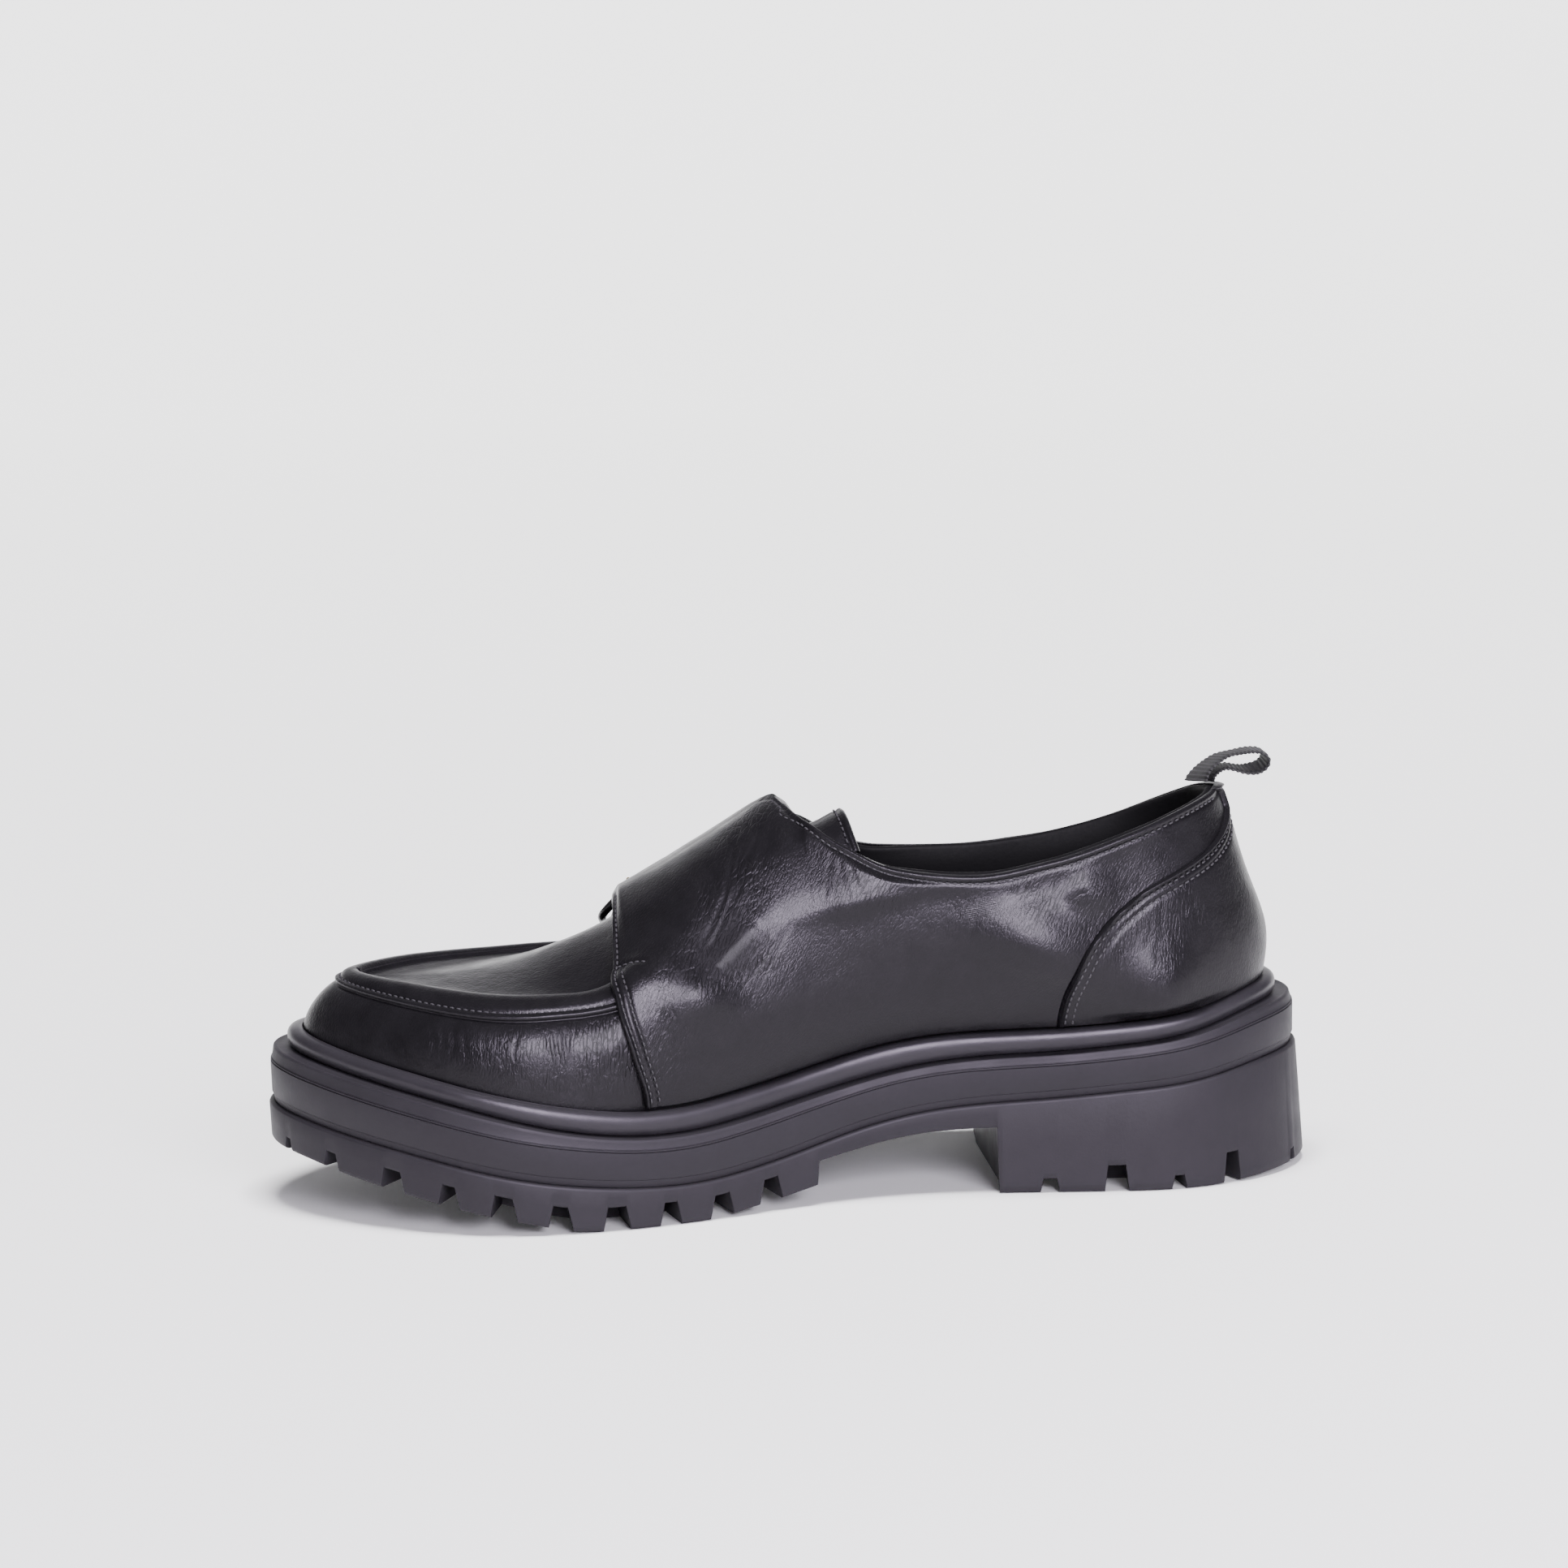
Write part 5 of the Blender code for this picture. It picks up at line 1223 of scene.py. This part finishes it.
# Along the pin, share of its rod
PIN_SLIM = np.array([
    (-9.6, 0.0), (-9.0, 0.8), (-7.0, 1.0), (6.0, 1.0), (9.0, 0.85), (9.5, 0.5), (9.6, 0.0),
])


def tube(path, ups, radius, closed, around=14):
    """Circle of the radius carried along the path, square to it; ends close to a point."""
    ahead = np.roll(path, -1, 0) - np.roll(path, 1, 0)
    if not closed:
        ahead[0], ahead[-1] = path[1] - path[0], path[-1] - path[-2]
    ahead = unit(ahead)
    across = unit(np.cross(ahead, ups))[:, None]
    ups = np.cross(across[:, 0], ahead)[:, None]
    turn = np.linspace(0, 2 * np.pi, around, endpoint=False)[:, None]
    reach = np.broadcast_to(radius, len(path))[:, None, None]
    points = (path[:, None] + reach * (np.cos(turn) * across + np.sin(turn) * ups)).reshape(-1, 3)
    index = np.arange(len(points)).reshape(len(path), around)
    if not closed:
        index[0], index[-1] = index[0, 0], index[-1, 0]
    index = np.concatenate([index, index[:, :1]], 1)
    if closed:
        index = np.concatenate([index, index[:1]])
    return points, quads_of(index)


def used_only(points, quads):
    """Points that some face uses, and the faces renumbered to them."""
    numbers, back = np.unique(quads, return_inverse=True)
    return points[numbers], back.reshape(quads.shape)


def on_strap(low, high, way, tilt, across, along, lift):
    """Path over a strap, from distances across and along it, and the directions away from it."""
    trial_s = np.linspace(low - 0.6, high + 0.8, TRIALS)
    along_s = run_length(wall(trial_s, np.full(TRIALS, way), LATERAL))
    left, right = np.interp([low, high], trial_s, along_s)
    middle = np.interp((left + right) / 2, along_s, trial_s)
    trial_w = np.linspace(0.3, 1.0, TRIALS)
    along_w = run_length(wall(np.full(TRIALS, middle), trial_w, LATERAL))
    lean_s, lean_w = np.sin(np.radians(tilt)), np.cos(np.radians(tilt))
    across = across * ((right - left) / 2 + BUCKLE_OVER)
    s = np.interp((left + right) / 2 + across * lean_w - along * lean_s, along_s, trial_s)
    from_foot = np.interp(way, trial_w, along_w) + across * lean_s + along * lean_w
    w = np.interp(from_foot, along_w, trial_w)
    ups = outward(s, w, LATERAL)
    height = quarter_low(s, w, LATERAL) + QUARTER_WALL + lift
    return wall(s, w, LATERAL) + height[:, None] * ups, ups


def squared(x):
    """Sine or cosine raised to a small power, its sign kept."""
    return np.sign(x) * np.abs(x) ** BUCKLE_CORNER


# %% Frames and pins
turn = np.linspace(0, 2 * np.pi, 96, endpoint=False)
across, along = squared(np.cos(turn)), BUCKLE_LONG * squared(np.sin(turn))
pin_along = np.linspace(-PIN_LONG, PIN_LONG, 40)
slim = PIN_ROD * np.interp(pin_along, *PIN_SLIM.T)
frame_lift, pin_lift = GAP + BUCKLE_ROD, 2 * GAP + 2 * BUCKLE_ROD + PIN_ROD
for name, *where in BUCKLES:
    points, quads = tube(*on_strap(*where, across, along, frame_lift), BUCKLE_ROD, True)
    piece("buckle_" + name, to_frame(points), quads, black_metal, "buckle_" + name)
    points, quads = tube(*on_strap(*where, 0 * pin_along, pin_along, pin_lift), slim, False)
    points, quads = used_only(points, quads)
    piece("pin_" + name, to_frame(points), quads, gold_metal, "pin_" + name)

# %% [markdown]
# ## The pull loop
# A ribbed tape is sewn into the back of the collar as a loop to pull the shoe on. It twists a little, so
# its two edges are two different lines; the ribs are waves along the tape.

# %% Pull loop
LOOP_WIDTH, LOOP_WALL, RIB, RIB_SHARE, EDGE_WAVE = 10.0, 1.1, 1.25, 0.20, 0.16

# Along the tape: near edge and far edge (distance from the heel back, height)
LOOP_LINE = np.array([
    (25.3, 102.9, 29.6, 101.5), (24.9, 104.2, 28.8, 103.0), (23.8, 106.2, 26.9, 105.0),
    (21.2, 108.3, 24.3, 106.9), (18.8, 109.6, 21.6, 108.3), (16.0, 110.1, 18.3, 109.0),
    (13.2, 110.3, 14.3, 109.8), (10.9, 110.1, 11.5, 109.9), (9.1, 109.2, 9.8, 109.5),
    (8.3, 107.7, 9.0, 108.3), (8.9, 106.0, 9.4, 107.1), (10.5, 104.8, 10.8, 106.0),
    (12.4, 104.4, 13.2, 105.4), (14.9, 104.7, 15.0, 105.2), (17.4, 105.5, 17.2, 105.5),
    (19.9, 106.0, 19.4, 105.8), (21.6, 105.4, 22.2, 105.0), (22.9, 104.2, 25.0, 103.6),
    (23.3, 102.9, 27.2, 101.7),
])
steps = np.linspace(0, len(LOOP_LINE) - 1, 360)
line = spline(np.arange(len(LOOP_LINE)), LOOP_LINE, steps)
middle = (line[:, :2] + line[:, 2:]) / 2
lead = unit(np.gradient(middle, axis=0))
length = run_length(middle)
wave = np.cos(2 * np.pi * length / RIB)[:, None]
share = np.array([0, 0.02, 0.06, 0.12, 0.3, 0.5, 0.7, 0.88, 0.94, 0.98, 1.0])
from_middle = 2 * share - 1
half = LOOP_WALL / 2 * (1 - RIB_SHARE + RIB_SHARE * wave)
half = half * np.sqrt(np.clip(1 - np.abs(from_middle) ** 12, 0.12, 1))
tape_u = line[:, :1] + (line[:, 2:3] - line[:, :1]) * share
tape_z = line[:, 1:2] + (line[:, 3:4] - line[:, 1:2]) * share
tape_y = LOOP_WIDTH * share + EDGE_WAVE * wave * from_middle
sheet = np.stack([tape_u, tape_y, tape_z], -1)
thick = np.stack([-lead[:, 1:] * half, 0 * half, lead[:, :1] * half], -1)
outer, inner = (to_frame(sheet + sign * thick).reshape(-1, 3) for sign in (1, -1))
points, quads = closed_sheet(outer, inner, quads_of(np.arange(tape_u.size).reshape(tape_u.shape)))
piece("pull_loop", points, quads, tape, "pull_loop")
print("tape length", round(float(length[-1]), 1), "mm")

# %% [markdown]
# ## Threads
# Each seam is a row of lock stitches. A stitch is a short capsule that dips into its holes at both ends;
# the whole row is made at once, by adding one small template to every place along the seam.

# %% Rows of stitches
PITCH, STITCH_LONG, STITCH_THICK, STITCH_DIP, STITCH_SINK = 1.95, 1.45, 0.50, 0.18, 0.10
STITCH_RINGS, STITCH_SPOKES = 7, 8


def picked(values, length, at):
    """Points of a line at distances along it."""
    return np.stack([np.interp(at, length, values[:, k]) for k in range(3)], -1)


def stitch_places(line, ups):
    """Middle, direction and upright of each stitch, one every pitch along the line."""
    length = run_length(line)
    at = np.arange(PITCH / 2, length[-1] - PITCH / 4, PITCH)
    lead = picked(line, length, at + 0.6) - picked(line, length, at - 0.6)
    return picked(line, length, at), lead, picked(ups, length, at)


def sewn(name, rows, node):
    """Template: reach along t, radius the root of 1 less t to the sixth, ends dipping by a square."""
    centre, lead, up = (np.concatenate(part) for part in zip(*(stitch_places(*row) for row in rows)))
    lead = unit(lead)
    across = unit(np.cross(lead, up))
    up = np.cross(across, lead)
    t = np.linspace(-1, 1, STITCH_RINGS)[:, None, None]
    turn = np.linspace(0, 2 * np.pi, STITCH_SPOKES, endpoint=False)[:, None]
    wide = STITCH_THICK / 2 * np.sqrt(1 - t ** 6)
    centre, lead, across, up = (v[:, None, None] for v in (centre, lead, across, up))
    points = centre + lead * t * STITCH_LONG / 2 + across * wide * np.cos(turn)
    points = points + up * (wide * np.sin(turn) - STITCH_DIP * t ** 2)
    index = np.arange(STITCH_RINGS * STITCH_SPOKES).reshape(STITCH_RINGS, STITCH_SPOKES)
    index[0], index[-1] = index[0, 0], index[-1, 0]
    cells = quads_of(np.concatenate([index, index[:, :1]], 1))
    quads = (cells + index.size * np.arange(len(points))[:, None, None]).reshape(-1, 4)
    points, quads = used_only(to_frame(points.reshape(-1, 3)), quads)
    piece(name, points, quads, thread, node, 80)


def seam(s, w, side, lift):
    """Line on a leather panel at the given lift over the skin, and its upright."""
    ups = outward(s, w, side)
    return wall(s, w, side) + np.broadcast_to(lift, s.shape)[:, None] * ups, ups


# %% Stitches of the quarter
ROW_STOPS, BAR_SINK = (0.985, 0.63), 0.2
way = np.linspace(0.02, ROW_STOPS[0], 500)
sunk = QUARTER_WALL - STITCH_SINK
rows_found = []
for off, stop in zip(FRONT_ROWS, ROW_STOPS):
    part = way[way < stop]
    s, w = moved(between(part, 0 * part), part, MEDIAL, -off)
    rows_found.append(seam(s, w, MEDIAL, quarter_low(s, w, MEDIAL) + sunk))
bar_lift = quarter_low(bar_s, bar_w, MEDIAL) + sunk - BAR_SINK
rows_found.append(seam(bar_s, bar_w, MEDIAL, bar_lift))
s = np.linspace(8.15, 16.1, 600)
s, w = moved(s, np.ones_like(s), MEDIAL, -COLLAR_ROW)
rows_found.append(seam(s, w, MEDIAL, quarter_low(s, w, MEDIAL) + sunk))
sewn("quarter_stitches", rows_found, "medial_quarter")

# %% Stitches of the counter, the apron and the tongue
APRON_TROUGH, APRON_LIFT = 0.452, 0.22
way = np.linspace(0.02, 0.93, 700)
edge_s = steady(COUNTER_EDGE, way)
sunk = OVERLAY_GAP + COUNTER_WALL - STITCH_SINK
rows_found = []
for side, sign in ((MEDIAL, -1), (LATERAL, 1)):
    for off in COUNTER_ROWS:
        s, w = moved(edge_s, way, side, sign * off)
        at = wall(s, w, side)
        bent = swelled(at[:, 0], at[:, 2]) * ramp(0.02, 0.08, w) * (side == MEDIAL)
        rows_found.append(seam(s, w, side, sunk + bent))
sewn("counter_stitches", rows_found, "heel_counter")

s = np.linspace(0.0, 5.1, 700)
w = np.full_like(s, APRON_TROUGH)
rows_found = [seam(s, w, side, apron(s, w, side) + APRON_LIFT) for side in (MEDIAL, LATERAL)]
sewn("apron_stitches", rows_found, "upper")
sewn("tongue_stitches", [tongue_row], "tongue")

# %% [markdown]
# ## The studio
# The shoe stands on pale paper. A softbox straight overhead lights the paper and is hidden from
# reflections. Such a lamp lights a floor by the fourth power of a cosine, less and less further out; the
# paper glows by just what is missing, so the background reads as one even tone.

# %% Floor and backdrop
LAMP_HEIGHT, LAMP_BACK, PAPER_TONE, FRONT_GLOW, HIGH_DIM = 1.5, 0.1, 2.51175, 0.15, 0.95
FLOOR_NEAR, FLOOR_FAR, COVE, WALL_TOP, HALF_WIDE = -1.6, 2.2, 0.8, 3.0, 3.0


def backdrop():
    """Flat floor that turns up through a quarter circle into a wall, as one profile carried sideways."""
    turn = np.linspace(0, np.pi / 2, 20)[1:]
    floor_y = np.linspace(FLOOR_NEAR, FLOOR_FAR, 77)
    wall_y = FLOOR_FAR + COVE
    y = np.concatenate([floor_y, FLOOR_FAR + COVE * np.sin(turn), [wall_y, wall_y]])
    z = np.concatenate([0 * floor_y, COVE - COVE * np.cos(turn), [WALL_TOP / 2, WALL_TOP]])
    x = np.linspace(-HALF_WIDE, HALF_WIDE, 121)
    grid = np.stack(np.broadcast_arrays(x[:, None], y, z), -1)
    return grid.reshape(-1, 3), quads_of(np.arange(grid[..., 0].size).reshape(grid.shape[:2]))


def glow_of(p):
    """Tone less the lamp's share, the square of h h / (h h + r r); weaker in front and high up."""
    away = p[:, 0] ** 2 + (p[:, 1] + LAMP_BACK) ** 2
    lit = (LAMP_HEIGHT ** 2 / (LAMP_HEIGHT ** 2 + away)) ** 2
    in_front = FRONT_GLOW + (1 - FRONT_GLOW) * ramp(-0.8, -0.3, p[:, 1])
    high_up = 1 - HIGH_DIM * ramp(0.33, 0.70, p[:, 2])
    return PAPER_TONE * (1 - lit) * in_front * high_up


WHITE = (1.0, 1.0, 1.0, 1.0)
paper, tree, base = shader("pale_paper", Roughness=0.9, Specular_IOR_Level=0.0, Emission_Color=WHITE)
mottle(tree, base, noise(tree, 6.0, 2.0), (0.796, 0.796, 0.796), (0.804, 0.804, 0.804))
tree.links.new(mark(tree, "glow").outputs["Fac"], base.inputs["Emission Strength"])
points, quads = backdrop()
mesh = bpy.data.meshes.new("paper_floor")
mesh.from_pydata(points.tolist(), [], quads[:, ::-1].tolist())
layer = mesh.attributes.new("glow", "FLOAT", "POINT")
layer.data.foreach_set("value", glow_of(points).astype(np.float32))
mesh.shade_smooth()
mesh.materials.append(paper)
floor = bpy.data.objects.new("paper_floor", mesh)
bpy.context.scene.collection.objects.link(floor)
print("paper:", len(points), "points")

# %% [markdown]
# A key softbox in front and above draws the highlights on the leather. It is seen in reflections only; a
# weaker twin beside it gives the diffuse light. Two broad panels, in front and at the heel, lift the sides
# of the sole. All of them lean a little to violet.

# %% Lights
SHOE, VIOLET, NEUTRAL = (0.0, 0.0, 0.05), (1.0, 0.95, 1.08), (1.0, 0.985, 1.01)
KEY_SIZE = (0.85, 0.70)
world = bpy.data.worlds.new("studio")
world.use_nodes = True
sky = world.node_tree.nodes["Background"].inputs
sky["Color"].default_value = (1.0, 0.95, 1.06, 1)
sky["Strength"].default_value = 0.12
bpy.context.scene.world = world


def softbox(name, source, size, radiance, target=SHOE, colour=VIOLET):
    """Rectangular light of a size in metres; its power is pi times area times radiance."""
    lamp = bpy.data.lights.new(name, "AREA")
    lamp.shape = "RECTANGLE"
    lamp.size, lamp.size_y = size
    lamp.energy = np.pi * size[0] * size[1] * radiance
    lamp.color = colour
    thing = bpy.data.objects.new(name, lamp)
    thing.location = source
    thing.rotation_euler = (Vector(target) - Vector(source)).to_track_quat("-Z", "Y").to_euler()
    thing.visible_camera = False
    bpy.context.scene.collection.objects.link(thing)
    return thing


above = (0.03, -LAMP_BACK, LAMP_HEIGHT)
overhead = softbox("overhead_softbox", above, (0.55, 0.40), 90.0, (0.03, -0.02, 0.05), NEUTRAL)
overhead.visible_glossy = False
key = softbox("key_softbox", (0.08, -1.45, 0.78), KEY_SIZE, 36.0)
key.visible_diffuse = False
fill = softbox("key_fill", (0.55, -1.38, 0.78), KEY_SIZE, 19.0)
fill.visible_glossy = False
softbox("front_panel", (0.45, -2.1, 0.40), (1.8, 0.8), 1.9)
softbox("right_panel", (1.7, -0.8, 0.5), (0.8, 0.8), 1.0)
print("lights:", len(bpy.data.lights))

# %% [markdown]
# ## The camera
# The picture is taken from a little over a metre away with a long lens, from the medial side and slightly
# above, and the camera is tilted by a degree and a half.

# %% Camera
TILT, AZIMUTH, ROLL = np.radians(10.3), np.radians(-3.5), np.radians(1.4)
FOCAL_PIXELS, PICTURE, SENSOR, DISTANCE = 5346.2, 1932, 36.0, 1.15
AIM = np.array([0.713, 0.0, 106.204])
sideways, backward = np.sin(AZIMUTH) * np.cos(TILT), -np.cos(AZIMUTH) * np.cos(TILT)
back = np.array([sideways, backward, np.sin(TILT)])
right = unit(np.cross(-back, [0, 0, 1.0]))
up = np.cross(right, -back)
camera_x = np.cos(ROLL) * right - np.sin(ROLL) * up
camera_y = np.sin(ROLL) * right + np.cos(ROLL) * up
target = (AIM - (CENTRE_X, CENTRE_Y, 0.0)) / 1000
lens = bpy.data.cameras.new("camera")
lens.sensor_width = SENSOR
lens.lens = SENSOR * FOCAL_PIXELS / PICTURE
camera = bpy.data.objects.new("camera", lens)
bpy.context.scene.collection.objects.link(camera)
turned = Matrix(np.stack([camera_x, camera_y, back], 1).tolist())
camera.matrix_world = Matrix.Translation(Vector(target + DISTANCE * back)) @ turned.to_4x4()
bpy.context.scene.camera = camera
print("camera at", [round(v, 4) for v in camera.matrix_world.translation])
